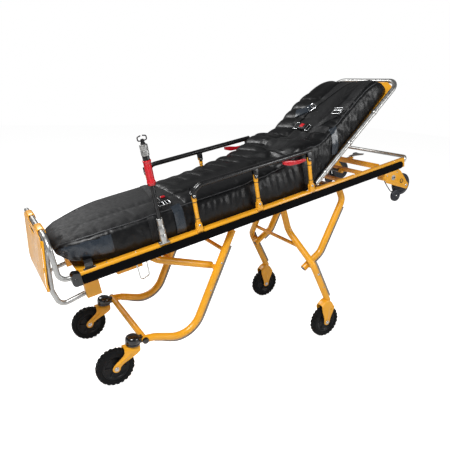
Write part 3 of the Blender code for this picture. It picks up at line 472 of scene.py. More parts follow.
def foot_end():
    y, top, bar = 0.28, 0.204, -0.083
    route = ((-0.0402, -y, 0.022), (bar, -y, 0.022), (bar, -y, top), (bar, y, top), (bar, y, 0.022),
             (-0.0402, y, 0.022))
    put("high_handle", [tube(rounded(route, (0.036, 0.055, 0.055, 0.036)), 0.011)], "tube", "root",
        replaces=["foot_handle"])
    y = 0.198
    half = [(0.0085, y, -0.103), (-0.1, y, -0.118), (-0.116, y, -0.04), (-0.0905, y, 0.148)]
    route = [(s, -y, n) for s, y, n in half] + half[::-1]
    put("low_handle", [tube(rounded(route, (0.034, 0.06, 0.036, 0.036, 0.06, 0.034)), 0.011)], "tube",
        "root", replaces=["lower_handle"])
    # The panel: a pressed sheet between the two handles, with a carrying slot.
    bm = bmesh.new()
    rings = []
    rows = ((-0.1318, -0.036), (-0.1316, 0.0), (-0.127, 0.03), (-0.118, 0.08), (-0.108, 0.138),
            (-0.0998, 0.185), (-0.0975, 0.201))
    across = [-1 + 2 * k / 40 for k in range(41)]
    for s, n in rows:
        width = 0.2125
        ring = []
        for a in across:
            press = 0.0035 * exp(-((abs(a) - 0.72) / 0.06) ** 2) if -0.02 < n < 0.17 else 0.0
            ring.append(bm.verts.new((s - press, a * width, n)))
        rings.append(ring)
    skin(bm, rings, caps=False, wrap=False)
    bmesh.ops.solidify(bm, geom=bm.faces[:], thickness=-0.0028)
    shapes = [bm]
    wrap = outline(((-0.0985, 0.19), (-0.0985, 0.2185), (-0.0665, 0.2185), (-0.0665, 0.196),
                    (-0.0695, 0.196), (-0.0695, 0.2155), (-0.0955, 0.2155), (-0.0955, 0.19)),
                   (0.001, 0.01, 0.01, 0.001, 0.001, 0.007, 0.007, 0.001))
    for m in (-1, 1):
        fold = outline(((-0.132, -0.0355), (-0.124, -0.034), (-0.1235, 0.002), (-0.09, 0.18),
                        (-0.0985, 0.189), (-0.13, 0.0)), (0.003, 0.003, 0.01, 0.003, 0.003, 0.003))
        shapes.append(slab(fold, m * 0.2108, m * 0.2138))
        shapes.append(slab(wrap, m * 0.075, m * 0.165))
    slot_cut = slab(capsule((-0.05, 0.177), (0.05, 0.177), 0.0085), -0.16, -0.06, axis="s")
    put("foot_panel_skin", shapes, "yellow", "root", replaces=["foot_panel"], cuts=[slot_cut], bevel=0.0008,
        segments=2)
    shapes = []
    for m in (-1, 1):
        for across_y, n in ((0.15, 0.15), (0.06, 0.15), (0.15, 0.01)):
            s = -0.1322 + (n - 0.005) * 0.176
            shapes.append(bolt((s + 0.0005, m * across_y, n), (-1, 0, 0.18), 0.004, 0.0018))
    put("foot_panel_screws", shapes, "steel", "root")


def tray():
    nodes = frame["nodes"]
    for node, colour in (("deck_tray", "yellow"), ("head_frame", "yellow"), ("under_tray_channel", "yellow"),
                         ("backrest_panel", "yellow"), ("gas_strut_rod", "chrome")):
        paint(nodes[node], colour)
    top = 0.0035
    y = -0.2285
    route = ((0.246, y, top), (0.251, y, -0.126), (0.293, y, -0.116), (0.296, y, top))
    put("stirrup_wire", [tube(rounded(route, 0.012), 0.0032, 14)], "steel", "root", "bright_tube",
        replaces=["wire_stirrup"])
    s, y = RAIL_END + 0.024, RAIL_MID
    start = RAIL_END + 0.0085
    route = ((start, -y, 0.008), (s, -y, 0.03), (s, y, 0.03), (start, y, 0.008))
    put("head_bar_tube", [tube(rounded(route, 0.014), 0.0095)],
        "tube", "root", replaces=["head_bar"])
    # Silver cross bars laid over the painted ladder frame, with their bolts.
    shapes = []
    for s in (1.325, 1.361):
        shapes.append(slab(capsule((s, -0.222), (s, 0.222), 0.0105), 0.0058, 0.01, axis="n"))
    put("cross_bar_covers", shapes, "tube", "root", bevel=0.0012)
    shapes = [bolt((s, y, 0.01), UP, 0.005, 0.003) for s in (1.325, 1.361) for y in (-0.21, 0.21)]
    shapes += [bolt((1.611, y, 0.0075), UP, 0.006, 0.0035) for y in (-0.215, 0.215)]
    put("cross_bar_bolts", shapes, "steel", "root")


def paint(ob, colour):
    ob.data.materials.clear()
    ob.data.materials.append(LOOKS[colour])
    ob.data.shade_smooth()
    ob.data.set_sharp_from_angle(angle=radians(35))


def drip_pole():
    s, y = DRIP
    foot = RAIL_TOP + 0.0003

    def ring(points, sides=40, hollow=True):
        return turned(points, (s, y, 0), UP, sides, hollow)

    socket = ((0.0099, foot + 0.003), (0.0099, 0.1465), (0.0126, 0.147), (0.0138, 0.145), (0.0142, 0.1425),
              (0.0142, 0.121), (0.0136, 0.12), (0.0136, 0.118), (0.0142, 0.117), (0.0142, 0.104),
              (0.016, 0.101), (0.0166, 0.0985), (0.0166, 0.078), (0.016, 0.077), (0.016, 0.0745),
              (0.0166, 0.0735), (0.0166, 0.056), (0.015, foot + 0.003))
    corners = ((-0.024, -0.0133), (0.024, -0.0133), (0.024, 0.018), (-0.024, 0.018))
    flange = outline([(s + a, y + b) for a, b in corners], 0.006)
    shapes = [ring(socket), slab(flange, foot, foot + 0.0053, axis="n")]
    put("drip_socket", shapes, "tube", "root", bevel=0.0008, replaces=["drip_pole_socket"])
    shapes = [bolt((s + a, y + 0.004, foot + 0.0053), UP, 0.0034, 0.0022) for a in (-0.0195, 0.0195)]
    shapes.append(bolt((s, y - 0.0164, 0.088), (0, -1, 0), 0.0034, 0.002))
    put("drip_socket_bolts", shapes, "steel", "root")
    mast = ((0.008, foot + 0.0064), (0.008, 0.3135), (0.0092, 0.314), (0.0094, 0.313),
            (0.0094, foot + 0.0064))
    put("drip_mast", [ring(mast)], "black", "root", replaces=["drip_pole_mast"])
    grip = [(0.0099, 0.297), (0.0099, 0.4038), (0.0174, 0.404), (0.0184, 0.4032), (0.0184, 0.3995),
            (0.0166, 0.3955)]
    for k in range(14):
        low = 0.39 - 0.0048 * k
        grip += [(0.0166, low), (0.0159, low - 0.0008), (0.0159, low - 0.0018), (0.0166, low - 0.0026)]
    grip += [(0.0166, 0.318), (0.0182, 0.315), (0.019, 0.3125), (0.019, 0.306), (0.018, 0.304),
             (0.015, 0.297)]
    put("drip_grip", [ring(grip)], "red", "root", replaces=["drip_pole_grip"], smooth=55)
    stem = ((0.0074, 0.11), (0.0074, 0.4048), (0.014, 0.405), (0.015, 0.4058), (0.015, 0.4205),
            (0.0146, 0.422), (0.01, 0.4225), (0.0078, 0.4225))
    low = [ring(stem, hollow=False)]
    neck = ((0.0078, 0.47), (0.0095, 0.4712), (0.01, 0.473), (0.0092, 0.476), (0.0078, 0.479),
            (0.0074, 0.488), (0.0058, 0.4915))
    low.append(ring(neck, hollow=False))
    for m in (-1, 1):
        loop = ((s, y, 0.486), (s + m * 0.009, y, 0.4845), (s + m * 0.019, y, 0.487),
                (s + m * 0.0195, y, 0.502), (s + m * 0.004, y, 0.5055))
        low.append(tube(rounded(loop, (0.004, 0.005, 0.006)), 0.0026, 12))
    put("drip_stem", low, "black", "drip_pole_upper", replaces=["drip_pole_upper"])

    def knurl(radius, along, angle):
        return radius - (0.0006 if radius > 0.0165 and 0.428 < along < 0.463
                         and int(angle * 18 / pi) % 2 else 0)

    sleeve = ((0.008, 0.4226), (0.015, 0.4228), (0.0168, 0.424), (0.017, 0.425), (0.017, 0.428),
              (0.017, 0.43), (0.017, 0.444), (0.016, 0.445), (0.016, 0.4475), (0.017, 0.4485),
              (0.017, 0.462), (0.017, 0.4655), (0.016, 0.469), (0.013, 0.4706), (0.008, 0.471))
    put("drip_sleeve", [turned(sleeve, (s, y, 0), UP, 72, False, knurl)], "tube", "drip_pole_upper",
        "chrome", smooth=30)


# --- Guards -----------------------------------------------------------------------------------
def guards(side, m):
    y = m * POST_Y
    for number, s in enumerate(POST_S, 1):
        body = f"guard_post_{side}_{number}"
        shapes = [tube(((s, y, POST_LOW + 0.02), (s, y, POST_HIGH - 0.02)), 0.0094, 28)]
        for low, high in ((POST_LOW, POST_LOW + 0.024), (POST_HIGH - 0.024, POST_HIGH)):
            shapes.append(slab(capsule((s, low), (s, high), 0.0093), y - 0.0063, y + 0.0063))
        put(f"post_{side}_{number}", shapes, "yellow", body, bevel=0.0013, replaces=[body])
        ring = ((0.0094, -0.0018), (0.0099, -0.001), (0.0099, 0.001), (0.0094, 0.0018))
        collars = [turned(ring, (s, y, n), UP, 28) for n in (POST_LOW + 0.03, POST_HIGH - 0.03)]
        put(f"post_rings_{side}_{number}", collars, "black", body)
    route = ((POST_S[2] + 0.0165, y, GUARD_N), (0.592, y, GUARD_N), (0.542, y, 0.207))
    shapes = [tube(rounded(route, 0.045), GUARD_R, 32)]
    for s in POST_S:
        cheek = outline(((s + 0.0128, GUARD_N - 0.004), (s - 0.0128, GUARD_N - 0.004),
                         (s - 0.0113, POST_HIGH - 0.0113), (s + 0.0113, POST_HIGH - 0.0113)),
                        (0, 0, 0.0105, 0.0105))
        shapes += cheeks(cheek, m)
    s = POST_S[0]
    low, high = span(m, POST_Y - 0.01, POST_Y + 0.01)
    shapes.append(box((s - 0.012, low, 0.215), (s + 0.012, high, 0.233)))
    notch = slab(capsule((s, POST_HIGH), (s + 0.03, POST_HIGH), 0.0115), y - 0.0069, y + 0.0069)
    put(f"guard_tube_{side}", shapes, "black", f"guard_rail_{side}", bevel=0.0012, segments=3, cuts=[notch],
        replaces=[f"guard_rail_{side}"])
    bolts = []
    for s in POST_S:
        bolts += post_bolts(s, m, POST_HIGH, (0.0052, 0.0035), (0.0046, 0.003))
    put(f"guard_bolts_{side}", bolts, "steel", f"guard_rail_{side}")
    plug = turned(((0.0004, -0.0035), (0.008, -0.003), (0.0112, -0.0008), (0.0112, 0.004), (0.0004, 0.004)),
                  (0.5402, y, 0.2047), (0.8, 0, 0.52), 28)
    put(f"guard_plug_{side}", [plug], "gloss", f"guard_rail_{side}")
    grip = outline(((1.041, 0.225), (1.041, 0.209), (1.075, 0.196), (1.13, 0.191), (1.172, 0.195),
                    (1.172, 0.206), (1.12, 0.209), (1.075, 0.2205)),
                   (0.004, 0.004, 0.01, 0.01, 0.0045, 0.0045, 0.01, 0.006))
    ribs = []
    for k in range(7):
        s, out = 1.088 + 0.011 * k, m * (POST_Y + 0.0076)
        ribs.append(rod((s, out, 0.1955 - 0.00035 * k), (s, out, 0.2065 - 0.0002 * k), 0.0012, 10))
    put(f"release_{side}", [slab(grip, *span(m, POST_Y - 0.0078, POST_Y + 0.0078)), *ribs], "red",
        f"guard_release_{side}", bevel=0.0026, segments=4, replaces=[f"guard_release_{side}"])


# --- Legs -------------------------------------------------------------------------------------
def strip(route, offset, width, start, end, slim=None):
    """A wear strip on a bent tube: the part of the route between two shares of its length, moved by offset.
    With slim, it tapers to that smaller offset towards its end."""
    pts = [Vector(p) for p in route]
    steps = [0.0]
    for a, b in zip(pts, pts[1:]):
        steps.append(steps[-1] + (b - a).length)
    total = steps[-1]
    line = []
    for k in range(41):
        at = total * (start + (end - start) * k / 40)
        i = max(j for j in range(len(steps)) if steps[j] <= at + 1e-9)
        i = min(i, len(pts) - 2)
        share = (at - steps[i]) / (steps[i + 1] - steps[i])
        ahead = (pts[i + 1] - pts[i]).normalized()
        side_way = Vector((ahead.z, 0, -ahead.x)).normalized()
        taper = max(0.0, min(1.0, (k - 32) / 6)) if slim else 0.0
        line.append(pts[i].lerp(pts[i + 1], share) + side_way * (offset + ((slim or 0.0) - offset) * taper))
    smooth = [line[0]] + [(line[k - 1] + line[k] * 2 + line[k + 1]) / 4 for k in range(1, 40)] + [line[-1]]
    return tube(smooth, width, 14)


def legs():
    shapes = [cross_rod(HEAD_HINGE[0], 0.184, HEAD_HINGE[1], SHAFT, 24, 0.001)]
    strips, bolts = [], []
    for m in (-1, 1):
        corners = ((1.097, 0.15, -0.035), (1.122, 0.15, -0.205), (1.15, 0.3, -0.365), (1.23, 0.3, -0.622))
        route = rounded([(s, m * y, n) for s, y, n in corners], 0.08, radians(5))
        shapes.append(tube(route, FRAME_TUBE, 32))
        strips.append(strip(route, -0.0195, 0.009, 0.6, 0.965))
        shapes.append(rod((BRACE_PIVOT[0], m * 0.2565, BRACE_PIVOT[1]),
                          (BRACE_PIVOT[0], m * 0.3, BRACE_PIVOT[1]), 0.012, 28, 0.001))
        bolts.append(bolt((1.171, m * 0.3168, -0.43), (0, m, 0), 0.007, 0.0042))
        bolts.append(bolt((1.198, m * 0.317, -0.52), (0, m, 0), 0.004, 0.0022))
    shapes.append(cross_rod(1.136, 0.222, -0.284, SHAFT))
    put("head_legs_skin", shapes, "yellow", "head_legs", replaces=["head_leg_frame"])
    put("head_leg_strips", strips, "grey", "head_legs")
    put("head_leg_bolts", bolts, "steel", "head_legs")
    shapes = [cross_rod(1.416, BRACE_Y, -0.03, SHAFT)]
    strips, plugs = [], []
    for m in (-1, 1):
        corners = ((1.416, -0.03), (1.436, -0.1), (1.252, -0.352), (1.131, -0.408))
        route = rounded([(s, m * BRACE_Y, n) for s, n in corners], (0.05, 0.07), radians(5))
        shapes.append(tube(route, FRAME_TUBE, 32))
        strips.append(strip(route, STRIP_OUT, STRIP_R, 0.2, 0.86))
        end = Vector((1.131, m * BRACE_Y, -0.408))
        axis = (end - Vector((1.252, m * BRACE_Y, -0.352))).normalized()
        plugs.append(turned(((0.0004, 0.002), (0.0125, 0.0016), (0.015, 0.0004), (0.0152, -0.006),
                             (0.0004, -0.006)), end, axis, 32))
    put("head_brace_skin", shapes, "yellow", "head_brace", replaces=["head_brace_frame"], bevel=0.0008)
    put("head_brace_strips", strips, "grey", "head_brace")
    put("head_brace_plugs", plugs, "black", "head_brace", "black_plastic")

    shapes = [cross_rod(FOOT_HINGE[0], FOOT_LEG_Y, FOOT_HINGE[1], SHAFT)]
    strips, bolts = [], []
    for m in (-1, 1):
        corners = (FOOT_HINGE, (0.42, -0.502), (0.244, -0.419), CROSSBAR)
        route = rounded([(s, m * FOOT_LEG_Y, n) for s, n in corners], (0.13, 0.06), radians(4))
        shapes.append(tube(route, FRAME_TUBE, 32))
        strips.append(strip(route, STRIP_OUT, STRIP_R, 0.1, 0.93, -0.0115))
        shapes.append(rod((FOOT_BRACE_PIVOT[0], m * 0.2235, FOOT_BRACE_PIVOT[1]),
                          (FOOT_BRACE_PIVOT[0], m * 0.244, FOOT_BRACE_PIVOT[1]), 0.012, 28))
        bolts.append(bolt((0.641, m * (FOOT_LEG_Y + 0.017), -0.178), (0, m, 0), 0.0055, 0.0035))
        bolts.append(bolt((0.56, m * (FOOT_LEG_Y + 0.017), -0.296), (0, m, 0), 0.0042, 0.0026))
    s, n = CROSSBAR
    shapes.append(cross_rod(s, 0.264, n, 0.015, 36))
    shapes.append(cross_rod(0.672, 0.246, -0.124, SHAFT))
    put("foot_legs_skin", shapes, "yellow", "foot_legs", replaces=["foot_leg_frame"])
    put("foot_leg_strips", strips, "grey", "foot_legs")
    put("foot_leg_bolts", bolts, "steel", "foot_legs")
    plugs = []
    for m in (-1, 1):
        plugs.append(turned(((0.0004, 0.0045), (0.009, 0.0042), (0.014, 0.002), (0.0153, -0.001),
                             (0.0153, -0.007), (0.0004, -0.007)), (s, m * 0.2655, n), (0, m, 0), 32))
    put("crossbar_plugs", plugs, "gloss", "foot_legs")
    caps, arms = [], []
    for m in (-1, 1):
        x, y = SWIVEL[0], m * SWIVEL[1]
        profile = [(0.0004, 0.1822), (0.03, 0.1822), (0.0335, 0.1835), (0.0345, 0.187), (0.0345, 0.1905),
                   (0.0328, 0.1925), (0.0328, 0.1945), (0.0345, 0.1965), (0.0348, 0.206), (0.0335, 0.215),
                   (0.03, 0.2215), (0.0235, 0.2258), (0.013, 0.2276), (0.0004, 0.228)]
        caps.append(turned(profile, (x, y, 0), UP, 48))
        bar = DECK @ Vector((CROSSBAR[0], y, CROSSBAR[1]))
        arm = ((x + 0.01, 0.187), (bar.x, bar.z - 0.0135), (bar.x, bar.z + 0.0135), (x + 0.01, 0.214))
        arms.append(slab(outline(arm, 0.003), y - 0.0165, y + 0.0165))
    put("swivel_caps", caps, "gloss", "foot_legs", base=WORLD)
    put("swivel_arms", arms, "gloss", "foot_legs", base=WORLD, bevel=0.004, segments=4)
    shapes = [cross_rod(0.42, FOOT_BRACE_Y, -0.104, SHAFT)]
    for m in (-1, 1):
        corners = (FOOT_BRACE_PIVOT, (0.355, -0.072), (0.325, -0.045))
        route = rounded([(s, m * FOOT_BRACE_Y, n) for s, n in corners], 0.05, radians(5))
        shapes.append(tube(route, FRAME_TUBE, 32))
    put("foot_brace_skin", shapes, "yellow", "foot_brace", replaces=["foot_brace_frame"], bevel=0.0008)


def fork(axle, top, wide, lean, crown_half, droop=0.0):
    """A pressed wheel fork: one strip bent over the wheel, ribbed down each leg and rounded at the axle.
    With droop, its crown bends down before and behind the leg tube."""
    x, y, z = axle
    half, low_r = 0.026, 0.018
    path = []
    for k in range(9):
        path.append((-half, z - low_r * cos(pi / 2 * k / 8)))
    shoulder = top - (0.046 if droop else 0.03)
    for k in range(1, 9):
        path.append((-half, z + (shoulder - z) * k / 8))
    for k in range(1, 13):
        a = pi / 2 * k / 12
        inward = (half - crown_half) * (1 - cos(a))
        path.append((-half + inward, shoulder + (top - 0.0015 - shoulder) * sin(a)))
    path += [(-y2, z2) for y2, z2 in path[::-1]]
    bm = bmesh.new()
    rings = []
    columns = 22
    for py, pz in path:
        up = max(0.0, min(1.0, (pz - z) / (shoulder + 0.01 - z)))
        ease = up * up * (3 - 2 * up)
        if pz < z:
            reach = max(0.0006, max(0.0, low_r ** 2 - (z - pz) ** 2) ** 0.5)
            left, right = x - reach, x + reach
        else:
            left = x - low_r + (wide[0] - x + low_r) * ease
            right = x + low_r + (wide[1] - x - low_r) * ease
        close = max(0.0, min(1.0, (pz - shoulder) / (top - 0.004 - shoulder))) if droop else 0.0
        ring = []
        middle = x + lean * ease
        for c in range(columns + 1):
            px = left + (right - left) * c / columns
            rib = 0.0036 * exp(-((px - middle) / 0.0075) ** 2) * (1 if z + 0.02 < pz < shoulder else 0.0)
            rib += 0.0016 * exp(-((c / columns - 0.5) ** 2) / 0.16) * up
            side_out = -1 if py < 0 else 1
            drop = droop * close * min(1.5, ((px - x - lean) / 0.044) ** 2)
            ring.append(bm.verts.new((px, y + py + side_out * rib, pz - drop)))
        rings.append(ring)
    skin(bm, rings, caps=False, wrap=False)
    bmesh.ops.solidify(bm, geom=bm.faces[:], thickness=0.0028)
    bmesh.ops.recalc_face_normals(bm, faces=bm.faces)
    return bm


def wheel_hardware(axle, outer=0.0285):
    """The bolt head and nut at the two ends of an axle."""
    x, y, z = axle
    nut = ((0.0004, 0.0052), (0.0032, 0.0052), (0.0036, 0.004), (0.0066, 0.0038), (0.0074, 0.0026),
           (0.0074, 0.001), (0.0105, 0.0008), (0.0108, -0.0006), (0.0004, -0.0006))
    shapes = []
    for m in (-1, 1):
        shapes.append(turned(nut, (x, y + m * outer, z), (0, m, 0), 24))
    return shapes


TREAD_SIDES = 120


def wheel(name, centre, body, fork_body):
    """A large wheel: a lugged tyre, a spoked disc and its axle bolts."""
    def lug(radius, along, angle):
        if radius < 0.079:
            return radius
        step = int(angle / (2 * pi) * TREAD_SIDES)
        stagger = 2 if along > 0 else 0
        cut = (step + stagger) % 5 < 2
        deep = 0.0042 if abs(along) > 0.006 else 0.0
        return radius - (deep if cut else 0.0)

    tread = ((RIM_R, 0.0148), (0.066, 0.0168), (0.074, 0.0178), (0.0795, 0.018), (0.0845, 0.0172),
             (0.088, 0.0145), (0.0896, 0.01), (0.0899, 0.0066), (0.09, 0.005), (0.09, 0.0016),
             (0.0888, 0.0008))
    put(f"tread_{name}", [turned(both_sides(tread), centre, (0, 1, 0), TREAD_SIDES, True, lug)], "tyre",
        body, base=WORLD, replaces=[f"tyre_{name}"], smooth=32)
    half = ((0.0056, 0.0224), (0.013, 0.0224), (0.015, 0.0216), (0.0165, 0.019), (0.0185, 0.01),
            (0.0215, 0.008), (0.043, 0.007), (0.05, 0.0085), (0.053, 0.0125), (0.0548, 0.0142),
            (0.0585, 0.0146), (0.0612, 0.014))
    profile = [(r, a) for r, a in half] + [(r, -a) for r, a in half[::-1]]
    shapes = [turned(profile, centre, (0, 1, 0), 64, True)]
    x, y, z = centre
    for m in (-1, 1):
        for k in range(6):
            a = 2 * pi * k / 6
            inner = Vector((x + 0.016 * cos(a), y + m * 0.0085, z + 0.016 * sin(a)))
            outer = Vector((x + 0.052 * cos(a), y + m * 0.0085, z + 0.052 * sin(a)))
            shapes.append(tube((inner, outer), 0.0032, 12))
    put(f"disc_{name}", shapes, "hub", body, base=WORLD, replaces=[f"hub_{name}"])
    put(f"wheel_bolt_{name}", wheel_hardware(centre), "steel", fork_body, base=WORLD)


def wheels(side, m):
    x, y = HEAD_WHEEL[0], m * HEAD_WHEEL[1]
    axle = (x, y, WHEEL_R)
    shapes = [fork(axle, 0.222, (x - 0.044, x + 0.044), -0.004, 0.017, 0.034)]
    shapes.append(rod((x, y - 0.0275, WHEEL_R), (x, y + 0.0275, WHEEL_R), 0.0048, 20))
    put(f"head_fork_skin_{side}", shapes, "yellow", "head_legs", base=WORLD, replaces=[f"head_fork_{side}"],
        smooth=50)
    wheel(f"head_{side}", axle, f"head_wheel_{side}", "head_legs")
    x, y = SWIVEL[0], m * SWIVEL[1]
    axle = (x - TRAIL, y, WHEEL_R)
    shapes = [fork(axle, 0.1815, (x - 0.047, x + 0.028), 0.065, 0.015)]
    shapes.append(rod((axle[0], y - 0.0275, WHEEL_R), (axle[0], y + 0.0275, WHEEL_R), 0.0048, 20))
    put(f"caster_fork_skin_{side}", shapes, "yellow", f"caster_{side}", base=WORLD,
        replaces=[f"caster_fork_{side}"], smooth=50)
    wheel(f"caster_{side}", axle, f"caster_wheel_{side}", f"caster_{side}")


def loading_end(side, m):
    """The plate at a rail's head end, its loading wheel and its small trigger wheel."""
    inner, outer = LOAD_INNER, LOAD_OUTER
    rim = ((1.705, -0.0205), (1.818, -0.0205), (1.833, -0.036), (1.891, -0.129), (1.88, -0.156))
    radii = (0.001, 0.006, 0.008, 0.01, 0.01)
    plate = outline((*rim, (1.711, -0.072)), (*radii, 0.006))
    short = outline((*rim, (1.845, -0.136), (1.76, -0.06), (1.711, -0.06)), (*radii, 0.01, 0.01, 0.004))
    shapes = [slab(plate, *span(m, outer - 0.003, outer)), slab(short, *span(m, inner, inner + 0.003))]
    low, high = span(m, inner + 0.0005, outer - 0.0005)
    shapes.append(box((1.7055, low, -0.0245), (1.818, high, -0.0208)))
    shapes.append(box((1.7055, low, -0.06), (1.709, high, -0.0212)))
    s, n = LOAD_AXLE
    shapes.append(rod((s, low, n), (s, high, n), 0.005, 20))
    put(f"load_bracket_skin_{side}", shapes, "yellow", "root", bevel=0.0009, segments=2,
        replaces=[f"load_bracket_{side}"])
    out = m * outer
    shapes = [bolt((s, out, n), (0, m, 0), 0.0072, 0.0042)]
    shapes.append(bolt((1.872, m * inner, n), (0, -m, 0), 0.0072, 0.0042))
    shapes += [bolt((s2, out, n2), (0, m, 0), 0.004, 0.0024) for s2, n2 in ((1.722, -0.034), (1.8, -0.032))]
    put(f"load_bolts_{side}", shapes, "steel", "root")
    spot = slab(disc((1.771, -0.057), 0.015), *span(m, outer - 0.0004, outer + 0.0011))
    put(f"load_disc_{side}", [spot], "label", "root", bevel=0.0005)
    dots = [slab(disc((1.771 + a, -0.057), 0.0042, 20), *span(m, outer + 0.0009, outer + 0.0016))
            for a in (-0.0062, 0.0062)]
    hole = turned(((0.0082, -0.002), (0.0082, 0.0012), (0.0098, 0.0024), (0.0122, 0.002), (0.013, 0.0),
                   (0.013, -0.002)), (1.834, out, -0.093), (0, m, 0), 36, True)
    put(f"load_grommet_{side}", [hole, *dots], "gloss", "root")
    middle = m * 0.2535
    half = ((0.0056, 0.013), (0.015, 0.013), (0.018, 0.0118), (0.02, 0.009), (0.043, 0.0085),
            (0.0455, 0.011), (0.048, 0.0128), (0.057, 0.013), (0.0605, 0.0118), (0.0625, 0.0085),
            (0.063, 0.005), (0.063, 0.002), (0.0618, 0.001))
    put(f"load_roller_{side}", [turned(both_sides(half), (s, middle, n), (0, 1, 0), 60, True)], "blue",
        f"load_wheel_{side}", replaces=[f"load_wheel_{side}"])
    low, high = span(m, 0.269, 0.2725)
    shapes = [slab(capsule(TRIGGER_PIVOT, TRIGGER_AXLE, 0.0118), low, high)]
    for (s, n), radius in ((TRIGGER_PIVOT, 0.006), (TRIGGER_AXLE, 0.004)):
        shapes.append(rod((s, m * 0.27, n), (s, m * 0.29, n), radius, 20))
    put(f"trigger_arm_skin_{side}", shapes, "black", f"trigger_arm_{side}", bevel=0.0007, segments=2,
        replaces=[f"trigger_arm_{side}"])
    middle = m * 0.2815
    s, n = TRIGGER_AXLE
    half = ((0.0046, 0.008), (0.01, 0.008), (0.012, 0.006), (0.023, 0.0055), (0.025, 0.0078),
            (0.031, 0.008), (0.0342, 0.0058), (0.035, 0.003))
    put(f"trigger_roller_{side}", [turned(both_sides(half), (s, middle, n), (0, 1, 0), 48, True)], "blue",
        f"trigger_wheel_{side}", replaces=[f"trigger_wheel_{side}"])
    put(f"trigger_cap_{side}", [bolt((s, m * 0.2896, n), (0, m, 0), 0.0052, 0.0034)], "steel",
        f"trigger_arm_{side}")
    line = [(s, m * 0.278, n) for s, n in ((1.7165, -0.066), (1.735, -0.1), (1.762, -0.14), (1.79, -0.15))]
    put(f"trigger_link_{side}", [tube(rounded(line, 0.02), 0.0026, 12)], "black", f"trigger_arm_{side}")


# --- Backrest ---------------------------------------------------------------------------------
def backrest():
    y = BACK_Y
    route = ((0, -y, 0), (BACK_LEN, -y, 0), (BACK_LEN, y, 0), (0, y, 0))
    shapes = [tube(rounded(route, 0.07), 0.0125, 28), rod((0, -0.2552, 0), (0, 0.2552, 0), 0.008, 24)]
    put("backrest_tube", shapes, "tube", "backrest", base=BACK, replaces=["backrest_frame"])
    collars = []
    bolts = []
    for m in (-1, 1):
        for along in (0.082, 0.29, 0.512):
            profile = ((0.0128, -0.0095), (0.0142, -0.009), (0.015, -0.0075), (0.015, 0.0075),
                       (0.0142, 0.009), (0.0128, 0.0095))
            collars.append(turned(profile, (along, m * y, 0), (1, 0, 0), 36))
        bolts.append(bolt((0, m * 0.2553, 0), (0, m, 0), 0.0072, 0.0028))
        bolts.append(bolt((0.04, m * (y + 0.0122), 0), (0, m, 0), 0.005, 0.0022))
    put("backrest_collars", collars, "tube", "backrest", base=BACK)
    put("backrest_bolts", bolts, "steel", "backrest", base=BACK)
    edge = outline(((0.64, -0.229), (0.7, -0.229), (0.7325, -0.17), (0.7325, 0.17), (0.7, 0.229),
                    (0.64, 0.229), (0.66, 0.19), (0.7, 0.15), (0.7, -0.15), (0.66, -0.19)),
                   (0.006, 0.03, 0.02, 0.02, 0.03, 0.006, 0.02, 0.02, 0.02, 0.02))
    put("backrest_edge_plate", [slab(edge, -0.0012, 0.004, axis="n")], "yellow", "backrest", base=BACK,
        bevel=0.0012)


def strut_and_lever():
    paint(frame["nodes"]["gas_strut_cylinder"], "black")
    lever = outline(((1.732, -0.016), (1.763, -0.016), (1.793, -0.04), (1.815, -0.034), (1.801, 0.0),
                     (1.815, 0.034), (1.793, 0.04), (1.763, 0.016), (1.732, 0.016)),
                    (0.003, 0.01, 0.01, 0.008, 0.03, 0.008, 0.01, 0.01, 0.003))
    put("lever_skin", [slab(lever, 0.0322, 0.0368, axis="n")], "tube", "backrest_lever", bevel=0.0016,
        replaces=["backrest_lever"])
    put("lever_bolt", [bolt((1.742, 0, 0.0368), UP, 0.005, 0.003)], "steel", "backrest_lever")


# --- Mattress ---------------------------------------------------------------------------------
def curve_through(points, count):
    """Smooth values through rows of numbers, spaced evenly along the first two columns."""
    pts = np.array(points, float)
    ext = np.vstack([2 * pts[0] - pts[1], pts, 2 * pts[-1] - pts[-2]])
    fine = []
    for i in range(1, len(ext) - 2):
        p0, p1, p2, p3 = ext[i - 1:i + 3]
        for t in np.linspace(0, 1, 24, endpoint=False):
            fine.append(0.5 * (2 * p1 + (p2 - p0) * t + (2 * p0 - 5 * p1 + 4 * p2 - p3) * t * t
                               + (3 * p1 - p0 - 3 * p2 + p3) * t ** 3))
    fine.append(pts[-1])
    fine = np.array(fine)
    steps = np.concatenate([[0], np.cumsum(np.linalg.norm(np.diff(fine[:, :2], axis=0), axis=1))])
    at = np.linspace(0, steps[-1], count)
    return np.stack([np.interp(at, steps, fine[:, c]) for c in range(fine.shape[1])], 1), at


def on_back(along, out):
    """A point beside the backrest plane, as (s, n) in the deck's frame."""
    ahead, above = cos(BACK_ANGLE), sin(BACK_ANGLE)
    return BACK_PIVOT[0] + along * ahead - out * above, BACK_PIVOT[1] + along * above + out * ahead


